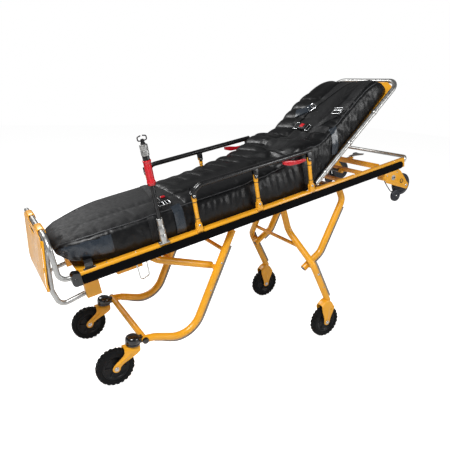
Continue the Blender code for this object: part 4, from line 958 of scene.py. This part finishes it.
# top line (s, n), bottom line (s, n), half width, corner softness
STATIONS = [
    ((-0.058, 0.112), (-0.046, 0.084), 0.15, 0.008),
    ((-0.046, 0.136), (-0.026, 0.066), 0.18, 0.018),
    ((-0.01, 0.15), (0.008, 0.05), 0.204, 0.018),
    ((0.06, 0.157), (0.066, 0.036), 0.224, 0.017),
    ((0.16, 0.163), (0.16, 0.021), 0.238, 0.017),
    ((0.3, 0.165), (0.3, 0.0145), 0.243, 0.017),
    ((0.55, 0.167), (0.55, 0.0125), 0.244, 0.018),
    ((0.82, 0.172), (0.82, 0.0125), 0.244, 0.022),
    ((0.985, 0.184), (1.01, 0.013), 0.244, 0.026),
    ((1.11, 0.212), (1.16, 0.014), 0.243, 0.028),
    ((1.215, 0.255), (1.238, 0.028), 0.24, 0.028),
    (on_back(0.165, 0.14), on_back(0.03, 0.003), 0.232, 0.028),
    (on_back(0.32, 0.134), on_back(0.24, 0.0015), 0.2265, 0.026),
    (on_back(0.48, 0.13), on_back(0.42, 0.0015), 0.226, 0.024),
    (on_back(0.57, 0.122), on_back(0.545, 0.0015), 0.223, 0.022),
    (on_back(0.628, 0.1), on_back(0.618, 0.0015), 0.22, 0.018),
    (on_back(0.66, 0.062), on_back(0.656, 0.0015), 0.213, 0.014),
]
ROWS, AROUND = 300, 168
ROLL = 0.074                      # spacing of the sewn rolls
SWELL_FRAMES, SWELL_CAP = 14, 0.006
PATCH_END, THIGH_SEAM, BACK_SEAM = 0.245, 0.6, 1.215   # seams across, measured along the top
SEAMS = ((-0.42, 0.16, 1.2), (-0.44, 1.24, 1.92), (0.16, 1.24, 1.92))   # across, from, to


def section(half, height, soft):
    """Points round one section, as (across, share of the height), evenly spaced, starting low on the left."""
    low = min(0.008, height * 0.35)
    top = min(soft, height * 0.45)
    corners = rounded([(-half, 0, 0), (half, 0, 0), (half, height, 0), (-half, height, 0)],
                      (low, low, top, top), radians(15), closed=True)
    pts = np.array([(p.x, p.y) for p in corners])
    start = int(np.argmin(np.abs(pts[:, 0]) + pts[:, 1] * 10))
    pts = np.roll(pts, -start, axis=0)
    pts = np.vstack([pts, pts[:1]])
    steps = np.concatenate([[0], np.cumsum(np.linalg.norm(np.diff(pts, axis=0), axis=1))])
    at = np.linspace(0, steps[-1], AROUND, endpoint=False)
    return np.stack([np.interp(at, steps, pts[:, 0]), np.interp(at, steps, pts[:, 1])], 1)


def bump_at(x, centre, width):
    return np.exp(-((x - centre) / width) ** 2)


def smoothstep(x, low, high):
    t = np.clip((x - low) / (high - low), 0, 1)
    return t * t * (3 - 2 * t)


def mattress():
    rows = np.array([[*t, *b, half, soft] for t, b, half, soft in STATIONS])
    table, length_at = curve_through(rows, ROWS)
    verts = np.zeros((ROWS, AROUND, 3))
    info = np.zeros((ROWS, AROUND, 3))   # station along the top line, across, share of height
    total = length_at[-1]
    for i in range(ROWS):
        ts, tn, bs, bn, half, soft = table[i]
        height = ((ts - bs) ** 2 + (tn - bn) ** 2) ** 0.5
        ring = section(half, height, soft)
        share = ring[:, 1] / height
        verts[i, :, 0] = bs + (ts - bs) * share
        verts[i, :, 1] = ring[:, 0]
        verts[i, :, 2] = bn + (tn - bn) * share
        info[i, :, 0] = length_at[i]
        info[i, :, 1] = ring[:, 0] / half
        info[i, :, 2] = share
    # Both ends are cut off slantwise on the right
    reach = (0, 0.06, 0.13, 0.23, 0.31, total - 0.26, total - 0.08, total - 0.04, total)
    keep = np.interp(length_at, reach, (0.55, 0.61, 0.74, 0.9, 1.0, 1.0, 0.79, 0.66, 0.56))[:, None]
    verts[:, :, 1] = np.where(verts[:, :, 1] > 0, verts[:, :, 1] * keep, verts[:, :, 1])
    du = np.gradient(verts, axis=0)
    dv = np.roll(verts, -1, axis=1) - np.roll(verts, 1, axis=1)
    normal = np.cross(dv, du)
    normal /= np.linalg.norm(normal, axis=2, keepdims=True) + 1e-12
    centre = verts.mean(axis=1, keepdims=True)
    if ((verts - centre) * normal).sum() < 0:
        normal = -normal
    u, across, share = info[..., 0], info[..., 1], info[..., 2]
    upper = smoothstep(share, 0.75, 0.98)
    outer = smoothstep(np.abs(across), 0.85, 0.98)
    side_face = smoothstep(share, 0.06, 0.25) * (1 - smoothstep(share, 0.8, 0.97)) * outer
    rest = np.zeros_like(u)
    rest += upper * 0.005 * (1 - across ** 2)
    rest -= upper * 0.011 * smoothstep(np.abs(across), 0.42, 0.98) * (1 - smoothstep(u, 0.75, 1.05))
    rest += side_face * 0.005 * np.sin(np.clip(share, 0, 1) * pi)
    # Rolls across the far half, from the thighs to the shoulders
    slant = u + 0.03 * across + 0.004 * np.sin(u * 11)
    arch = np.abs(np.sin(slant * pi / ROLL)) ** 0.55
    far_half = smoothstep(across, -0.1, 0.18)
    roll_on = smoothstep(u, 0.6, 0.76) * (1 - smoothstep(u, 1.66, 1.8)) * far_half * upper
    strength = 0.88 + 0.12 * np.sin(np.floor(slant / ROLL) * 2.4)
    rest += roll_on * strength * (0.0112 * arch - 0.0026)
    near_half = 1 - smoothstep(across, 0.0, 0.3)
    lap_on = smoothstep(u, 1.02, 1.12) * (1 - smoothstep(u, 1.3, 1.4)) * near_half * upper
    rest += lap_on * 0.006 * np.sin((u + 0.1 * across) * 2 * pi / 0.115)
    # Bolsters along the edges of the backrest, beside a sunk centre panel
    back_on = smoothstep(u, 1.15, 1.35) * (1 - smoothstep(u, 1.86, 1.95))
    bolsters = 0.009 * bump_at(across, -0.72, 0.22) + 0.006 * bump_at(across, 0.8, 0.18)
    rest += back_on * upper * (bolsters - 0.006 * bump_at(across, -0.1, 0.34))
    # Seams: along the centre panel and the band, and across
    seam_depth = 0.0038
    for line, start, end in SEAMS:
        on = smoothstep(u, start, start + 0.03) * (1 - smoothstep(u, end - 0.03, end)) * upper
        rest -= on * seam_depth * bump_at(across, line, 0.012)
    for at in (PATCH_END, THIGH_SEAM, BACK_SEAM):
        on = side_face if at == PATCH_END else upper
        rest -= on * seam_depth * bump_at(u, at, 0.0035)
    # Gathers down the side walls
    gather = smoothstep(u, 0.46, 0.6) * (1 - smoothstep(u, 1.75, 1.9)) * side_face
    phase = u * 2 * pi / 0.04 + 2.6 * np.sin(u * 17) + 0.8 * np.sin(share * 5)
    folds = np.sin(phase) * 0.7 + 0.3 * np.sin(phase * 1.7 + 1)
    rest += gather * 0.0013 * folds * (0.55 + 0.45 * (1 - share))
    below = 1 - smoothstep(share, 0.3, 0.5)
    foot_fold = (1 - smoothstep(u, 0.18, 0.3)) * smoothstep(share, 0.02, 0.2) * below
    rest += foot_fold * 0.002 * np.sin(u * 2 * pi / 0.045 + across * 6)
    # Soft creases everywhere
    wrinkle = np.zeros_like(u)
    for i in range(ROWS):
        for j in range(AROUND):
            p = verts[i, j]
            wrinkle[i, j] = noise.fractal(Vector((p[0] * 7, p[1] * 11, p[2] * 9)), 1.0, 2.1, 4)
    rest += (upper * 0.001 + (1 - upper) * 0.0022) * wrinkle * smoothstep(share, 0.0, 0.1)
    rest *= smoothstep(share, 0.0, 0.05)
    verts = verts + normal * rest[..., None]

    bm = bmesh.new()
    grid = [[bm.verts.new(DECK @ Vector(verts[i, j])) for j in range(AROUND)] for i in range(ROWS)]
    skin(bm, grid, caps=False)
    for row, direction in ((0, -1), (ROWS - 1, 1)):
        middle = bm.verts.new(DECK @ Vector(verts[row].mean(axis=0) + np.array([0.002 * direction, 0, 0])))
        for j in range(AROUND):
            bm.faces.new((grid[row][j], grid[row][(j + 1) % AROUND], middle))
    bmesh.ops.recalc_face_normals(bm, faces=bm.faces)
    mesh = bpy.data.meshes.new("mattress")
    bm.to_mesh(mesh)
    bm.free()
    ob = add_object("mattress", mesh)
    for key in ("vinyl", "panel", "patch"):
        mesh.materials.append(LOOKS[key])
    slots = np.zeros(len(mesh.polygons), int)
    for index in range((ROWS - 1) * AROUND):
        i, j = divmod(index, AROUND)
        a, b, c = u[i, j], across[i, j], share[i, j]
        if (c > 0.93 and a < THIGH_SEAM) or (c > 0.9 and a > BACK_SEAM and -0.44 < b < 0.16):
            slots[index] = 1
        # Slot 2 is the side patch at the foot; its look's lighter, bluer colour is painted sheen.
        if b < -0.9 and 0.25 < c <= 0.8 and a < PATCH_END:
            slots[index] = 2
    mesh.polygons.foreach_set("material_index", slots.astype(np.int32))
    swell(ob, verts, share, u, across)
    ob.data.shade_smooth()
    return ob, verts, info


def swell(ob, verts, share, u, across):
    """Cloth pressure between the sewn lines, with the underside and the seams held."""
    group = ob.vertex_groups.new(name="held")
    held = (share < 0.12)
    for line, start, end in SEAMS:
        held |= (np.abs(across - line) < 0.016) & (u > start) & (u < end) & (share > 0.9)
    held |= (share > 0.76) & (share < 0.86) & (np.abs(across) > 0.9)
    held |= (np.abs(u - THIGH_SEAM) < 0.005) & (share > 0.9)
    index = np.nonzero(held.reshape(-1))[0].tolist()
    group.add(index, 1.0, "REPLACE")
    total = len(ob.data.vertices)
    group.add(list(range(ROWS * AROUND, total)), 1.0, "REPLACE")
    before = np.zeros(total * 3)
    ob.data.vertices.foreach_get("co", before)
    cloth = ob.modifiers.new("cloth", "CLOTH")
    settings = cloth.settings
    settings.quality = 4
    settings.mass = 0.35
    settings.tension_stiffness = settings.compression_stiffness = 12
    settings.shear_stiffness = 4
    settings.bending_stiffness = 3.0
    settings.vertex_group_mass = "held"
    settings.pin_stiffness = 1.0
    settings.shrink_min = -0.012
    settings.use_pressure = True
    settings.uniform_pressure_force = 2.2
    settings.effector_weights.gravity = 0.0
    cloth.collision_settings.use_collision = False
    cloth.collision_settings.use_self_collision = False
    scene = bpy.context.scene
    cloth.point_cache.frame_start, cloth.point_cache.frame_end = 1, SWELL_FRAMES
    for number in range(1, SWELL_FRAMES + 1):
        scene.frame_set(number)
    graph = bpy.context.evaluated_depsgraph_get()
    done = ob.evaluated_get(graph).to_mesh()
    after = np.zeros(total * 3)
    done.vertices.foreach_get("co", after)
    ob.evaluated_get(graph).to_mesh_clear()
    move = (after - before).reshape(-1, 3)
    reach = np.linalg.norm(move, axis=1, keepdims=True)
    move *= SWELL_CAP * np.tanh(reach / SWELL_CAP) / np.maximum(reach, 1e-9)
    ob.modifiers.clear()
    scene.frame_set(1)
    ob.data.vertices.foreach_set("co", (before.reshape(-1, 3) + move).reshape(-1))
    ob.data.update()


def surface_of(ob):
    mesh = ob.data
    points = [v.co.copy() for v in mesh.vertices]
    return BVHTree.FromPolygons(points, [tuple(p.vertices) for p in mesh.polygons])


def ribbon(tree, guide, width, lift=0.0018, thick=0.0016, closed=False, columns=6, smooth=2):
    """A flat strap that lies on a surface: guide holds (point, outward) pairs, in world axes."""
    count = len(guide)
    centre = [Vector(p) for p, _ in guide]
    rows = []
    for i in range(count):
        a = centre[i - 1] if (i or closed) else centre[i]
        b = centre[(i + 1) % count] if (closed or i + 1 < count) else centre[i]
        along = (b - a).normalized()
        outward = Vector(guide[i][1]).normalized()
        side_way = along.cross(outward).normalized()
        row = []
        for c in range(columns + 1):
            start = centre[i] + side_way * width * (c / columns - 0.5)
            hit = tree.ray_cast(start + outward * 0.05, -outward, 0.14) if tree else (None,)
            row.append((hit[0] + outward * lift) if hit[0] is not None else start)
        rows.append((row, outward))
    for _ in range(smooth):
        old = [[p.copy() for p in row] for row, _ in rows]
        for i in range(count):
            if not closed and i in (0, count - 1):
                continue
            for c in range(columns + 1):
                mean = (old[i - 1][c] + old[i][c] * 2 + old[(i + 1) % count][c]) / 4
                gain = max(0.0, (old[i][c] - mean).dot(rows[i][1]))
                rows[i][0][c] = mean + rows[i][1] * gain
    bm = bmesh.new()
    rings = []
    for row, outward in rows:
        low = [bm.verts.new(p) for p in row]
        high = [bm.verts.new(p + outward * thick) for p in row[::-1]]
        rings.append(low + high)
    return skin(bm, rings, closed=closed)


def frame_loop(centre, right, up, half_w, half_h, radius, corner=0.004):
    """A round-wire rectangle, such as a buckle's frame."""
    c, r, t = Vector(centre), Vector(right).normalized(), Vector(up).normalized()
    pts = rounded([(-half_w, -half_h, 0), (half_w, -half_h, 0), (half_w, half_h, 0), (-half_w, half_h, 0)],
                  corner, radians(18), closed=True)
    return tube([c + r * p.x + t * p.y for p in pts], radius, 12, closed=True)


def lay(points, base, width, name, tree, body, colour="strap", lift=0.0018, count=40, thick=0.0016):
    """A strap laid on the mattress: points are (along, across) seen square to base's plane."""
    table, _ = curve_through([(*p, 0) for p in points], count)
    up = (base.to_3x3() @ Vector((0, 0, 1))).normalized()
    guide = [(base @ Vector((a, b, 0.15)), up) for a, b, _ in table]
    return put(name, [ribbon(tree, guide, width, lift, thick)], colour, body, base=WORLD, smooth=50)


def over_section(verts, info, row, start, end, shift=0.0):
    """Points and outward directions round one section, from one (side, share) to the other."""
    pts, outs = [], []
    order = [j for j in range(AROUND) if info[row, j, 2] > 0.04]
    for j in order:
        a = verts[row, (j - 1) % AROUND]
        b = verts[row, (j + 1) % AROUND]
        along = b - a
        across = np.array([0, along[1], along[2]])
        out = np.array([0, -across[2], across[1]])
        if out[1] * info[row, j, 1] < -1e-6 and abs(info[row, j, 1]) > 0.9:
            out = -out
        if info[row, j, 2] > 0.9 and out[2] < 0:
            out = -out
        pts.append(verts[row, j] + np.array([shift, 0, 0]))
        outs.append(out / (np.linalg.norm(out) + 1e-9))
    count = len(pts)
    low, high = int(start * (count - 1)), int(end * (count - 1))
    return [(DECK @ Vector(pts[k]), DECK.to_3x3() @ Vector(outs[k])) for k in range(low, high + 1)]


def buckle(name, centre, right, up, body, half_w=0.024, half_h=0.016, base=WORLD):
    """A steel loop with a centre bar."""
    c, r, t = Vector(centre), Vector(right).normalized(), Vector(up).normalized()
    shapes = [frame_loop(c, r, t, half_w, half_h, 0.0028)]
    shapes.append(rod(c - t * half_h, c + t * half_h, 0.0022, 12))
    shapes.append(rod(c - t * half_h + r * half_w * 0.45, c + t * half_h + r * half_w * 0.45, 0.0014, 12))
    return put(name, shapes, "chrome", body, base=base)


def plate_box(centre, right, up, size):
    """A box with its own axes: size along right, up and outward."""
    r, t = Vector(right).normalized(), Vector(up).normalized()
    out = r.cross(t)
    bm = bmesh.new()
    matrix = Matrix((r, t, out)).transposed().to_4x4()
    matrix.translation = Vector(centre)
    bmesh.ops.create_cube(bm, size=1.0, matrix=matrix @ Matrix.Diagonal(Vector(size)).to_4x4())
    return bm


def harness(ob, verts, info):
    tree = surface_of(ob)
    deck_up = (DECK.to_3x3() @ Vector((0, 0, 1))).normalized()
    back_up = (BACK.to_3x3() @ Vector((0, 0, 1))).normalized()
    deck_s = (DECK.to_3x3() @ Vector((1, 0, 0))).normalized()
    back_s = (BACK.to_3x3() @ Vector((1, 0, 0))).normalized()
    cross = Vector((0, 1, 0))

    def on(base, up, along, across, lift=0.003):
        start = base @ Vector((along, across, 0.3))
        hit = tree.ray_cast(start, -up, 0.5)
        return (hit[0] if hit[0] is not None else base @ Vector((along, across, 0.13))) + up * lift

    # Leg strap across the thighs, its tails over both edges
    lay([(0.405, -0.212), (0.424, -0.14), (0.444, -0.05), (0.462, 0.06), (0.478, 0.15), (0.49, 0.213)],
        DECK, 0.03, "leg_strap", tree, "root")
    side_row = int(np.argmin(np.abs(info[:, 0, 0] - 0.47)))
    for side, (start, end), shift in (("left", (0.835, 0.985), -0.045), ("right", (0.015, 0.165), 0.015)):
        guide = over_section(verts, info, side_row, start, end, shift)
        put(f"leg_strap_end_{side}", [ribbon(tree, guide, 0.03, 0.0022)], "strap", "root", base=WORLD,
            smooth=50)
    wide_row = int(np.argmin(np.abs(info[:, 0, 0] - 0.555)))
    guide = over_section(verts, info, wide_row, 0.8, 0.985)
    # The side strap takes the patch look, whose lighter, bluer colour is painted sheen.
    put("side_strap", [ribbon(tree, guide, 0.046, 0.003, 0.002)], "patch", "root", base=WORLD, smooth=50)
    c = on(DECK, deck_up, 0.44, -0.19)
    tilt_cross = (on(DECK, deck_up, 0.44, -0.15) - on(DECK, deck_up, 0.44, -0.21)).normalized()
    buckle("leg_buckle", c + deck_up * 0.006, deck_s, tilt_cross, "root", 0.03, 0.017)
    body = plate_box(on(DECK, deck_up, 0.456, -0.15, 0.01), deck_s, tilt_cross, (0.046, 0.046, 0.012))
    put("leg_buckle_body", [body], "black", "root", "black_plastic", base=WORLD, bevel=0.004, segments=4)
    tag = plate_box(on(DECK, deck_up, 0.458, -0.146, 0.019), deck_s, tilt_cross, (0.021, 0.015, 0.005))
    put("leg_buckle_tag", [tag], "red", "root", base=WORLD, bevel=0.0015)

    # Shoulder straps, with steel slides, and the waist buckle
    lay([(0.64, -0.052), (0.56, -0.03), (0.47, 0.006), (0.385, 0.034)], BACK, 0.04, "shoulder_strap_right",
        tree, "backrest")
    # The shoulder pad takes the patch look, whose lighter, bluer colour is painted sheen.
    lay([(0.372, 0.04), (0.34, 0.078), (0.318, 0.112)], BACK, 0.056, "shoulder_pad_right", tree, "backrest",
        "patch", 0.0035, 24, 0.006)
    lay([(0.64, -0.186), (0.54, -0.192), (0.44, -0.196), (0.36, -0.188), (0.29, -0.15), (0.232, -0.1)],
        BACK, 0.04, "shoulder_strap_left", tree, "backrest")
    lay([(0.355, 0.05), (0.3, 0.06), (0.245, 0.056)], BACK, 0.034, "waist_strap_right", tree, "backrest")
    for name, along, across, turn, lift in (("right", 0.38, 0.036, -0.42, 0.017),
            ("left", 0.364, -0.19, 0.1, 0.0115)):
        c = on(BACK, back_up, along, across, lift)
        right = (back_s * cos(turn) + cross * sin(turn)).normalized()
        buckle(f"shoulder_buckle_{name}", c, right, back_up.cross(right), "backrest", 0.021, 0.027)
    c0 = on(BACK, back_up, 0.236, -0.022, 0.017)
    right = (on(BACK, back_up, 0.222, -0.075, 0.01) - on(BACK, back_up, 0.226, 0.045, 0.01)).normalized()
    up = back_up.cross(right)
    body = [plate_box(c0, right, up, (0.06, 0.042, 0.016)),
            plate_box(c0 - right * 0.036 - back_up * 0.002, right, up, (0.016, 0.036, 0.01))]
    put("waist_buckle_body", body, "black", "backrest", "black_plastic", base=WORLD, bevel=0.004, segments=4)
    button = plate_box(c0 + back_up * 0.0085 + right * 0.004, right, up, (0.026, 0.024, 0.005))
    put("waist_buckle_button", [button], "red", "backrest", base=WORLD, bevel=0.002)
    steel = [frame_loop(c0 - right * 0.052 - back_up * 0.004, right, up, 0.014, 0.021, 0.0023),
             frame_loop(c0 + right * 0.046 - back_up * 0.004, right, up, 0.013, 0.019, 0.0023)]
    put("waist_buckle_steel", steel, "chrome", "backrest", base=WORLD)
    lay([(0.228, -0.085), (0.232, -0.15), (0.24, -0.212)], BACK, 0.042, "waist_strap_left", tree, "backrest")
    row = int(np.argmin(np.abs(info[:, 0, 0] - 1.52)))
    guide = over_section(verts, info, row, 0.8, 0.99)
    # The side loop takes the patch look, whose lighter, bluer colour is painted sheen.
    put("side_loop", [ribbon(tree, guide, 0.04, 0.003)], "patch", "backrest", base=WORLD, smooth=50)


def foot_straps():
    """Short straps that clip the foot of the mattress to the rails."""
    for side, m in SIDES:
        route = [(0.052, m * 0.208, 0.046), (0.05, m * 0.232, 0.05), (0.048, m * 0.248, 0.047),
                 (0.046, m * 0.258, 0.041), (0.044, m * 0.266, 0.035), (0.043, m * 0.274, 0.0325)]
        table, _ = curve_through([(y, n, s) for s, y, n in route], 30)
        guide = []
        for k in range(30):
            y, n, s = table[k]
            j = min(k, 28)
            dy, dn = table[j + 1][0] - table[j][0], table[j + 1][1] - table[j][1]
            out = Vector((0, -dn * m, dy * m))
            guide.append((DECK @ Vector((s, y, n)), DECK.to_3x3() @ out))
        put(f"foot_strap_{side}", [ribbon(None, guide, 0.034, 0, 0.0022)], "strap", "root", base=WORLD,
            smooth=50)
        low, high = span(m, 0.264, 0.279)
        put(f"foot_clip_{side}", [box((0.018, low, 0.0312), (0.07, high, 0.0342))], "black", "root",
            "black_plastic", bevel=0.001)
        shapes = [bolt((s, m * 0.2715, 0.0342), UP, 0.0042, 0.0026) for s in (0.0225, 0.0655)]
        put(f"foot_clip_screws_{side}", shapes, "steel", "root")


def piping(verts, info):
    """Welts along both upper edges of the seat and the backrest; their grey look paints the edges' highlight
    line.
    """
    welts = []
    for side, m in SIDES:
        line = []
        for i in range(4, ROWS - 4):
            choice = [j for j in range(AROUND) if info[i, j, 1] * m > 0.5 and info[i, j, 2] > 0.5]
            j = min(choice, key=lambda k: abs(info[i, k, 2] - 0.93))
            line.append(verts[i, j])
        line = np.array(line)
        for _ in range(6):
            line[1:-1] = (line[:-2] + line[1:-1] * 2 + line[2:]) / 4
        line = [Vector(p) for p in line[::2]]
        welts.append(put(f"mattress_welt_{side}", [tube(line, 0.0026, 10)], "piping", "root"))
    return welts


# --- Scene ------------------------------------------------------------------------------------
WHITE = (1, 1, 1, 1)


def light(name, place, target, size, power):
    data = bpy.data.lights.new(name, "AREA")
    data.shape = "RECTANGLE"
    data.size, data.size_y = size
    data.energy = power
    ob = add_object(name, data)
    ob.location = place
    ob.rotation_euler = (Vector(target) - Vector(place)).to_track_quat("-Z", "Y").to_euler()


def studio():
    yaw, pitch, roll = radians(30.363), radians(15.98), radians(2.289)
    ahead = Vector((sin(yaw) * cos(pitch), cos(yaw) * cos(pitch), -sin(pitch)))
    level = Vector((cos(yaw), -sin(yaw), 0))
    above = level.cross(ahead)
    right = level * cos(roll) + above * sin(roll)
    up = above * cos(roll) - level * sin(roll)
    data = bpy.data.cameras.new("camera")
    data.lens = 38.02
    data.sensor_width = 36
    ob = add_object("camera", data)
    matrix = Matrix((right, up, -ahead)).transposed().to_4x4()
    matrix.translation = (-1.2976, -2.1127, 1.3246)
    ob.matrix_world = matrix
    bpy.context.scene.camera = ob

    floor_bm = bmesh.new()
    bmesh.ops.create_grid(floor_bm, x_segments=2, y_segments=2, size=14)
    mesh = bpy.data.meshes.new("floor")
    floor_bm.to_mesh(mesh)
    floor_bm.free()
    floor = add_object("floor", mesh)
    floor.location.z = -0.0005
    mat = bpy.data.materials.new("floor")
    mat.use_nodes = True
    shader = mat.node_tree.nodes["Principled BSDF"]
    fill(shader, Base_Color=(0.85, 0.85, 0.85, 1), Roughness=0.9, Emission_Color=WHITE)
    seen = mat.node_tree.nodes.new("ShaderNodeLightPath")
    glow = mat.node_tree.nodes.new("ShaderNodeMath")
    glow.operation = "MULTIPLY"
    glow.inputs[1].default_value = 0.84
    mat.node_tree.links.new(seen.outputs["Is Camera Ray"], glow.inputs[0])
    mat.node_tree.links.new(glow.outputs["Value"], shader.inputs["Emission Strength"])
    mesh.materials.append(mat)
    world = bpy.data.worlds.new("world")
    bpy.context.scene.world = world
    world.use_nodes = True
    tree = world.node_tree
    paths = tree.nodes.new("ShaderNodeLightPath")
    strength = fill(tree.nodes.new("ShaderNodeMapRange"), To_Min=0.16, To_Max=1.0)
    tree.links.new(paths.outputs["Is Camera Ray"], strength.inputs["Value"])
    tree.links.new(strength.outputs["Result"], tree.nodes["Background"].inputs["Strength"])
    fill(tree.nodes["Background"], Color=WHITE)
    light("key", (-2.2, -2.0, 3.4), (0, 0, 0.5), (1.4, 1.4), 170)
    light("fill", (2.4, -3.0, 1.6), (0, 0, 0.6), (1.2, 1.2), 42)
    light("rim", (-1.6, 2.6, 2.8), (0, 0, 0.7), (1.6, 0.9), 62)
    bpy.context.scene.view_settings.view_transform = "Standard"


studio()
for side, m in SIDES:
    rails(side, m)
    guards(side, m)
    wheels(side, m)
    loading_end(side, m)
foot_end()
tray()
drip_pole()
legs()
backrest()
strut_and_lever()
mattress_ob, verts, info = mattress()
harness(mattress_ob, verts, info)
foot_straps()
for ob in [mattress_ob, *piping(verts, info)]:
    ob.parent = None
    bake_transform(ob)
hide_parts("mattress_seat", "mattress_back")
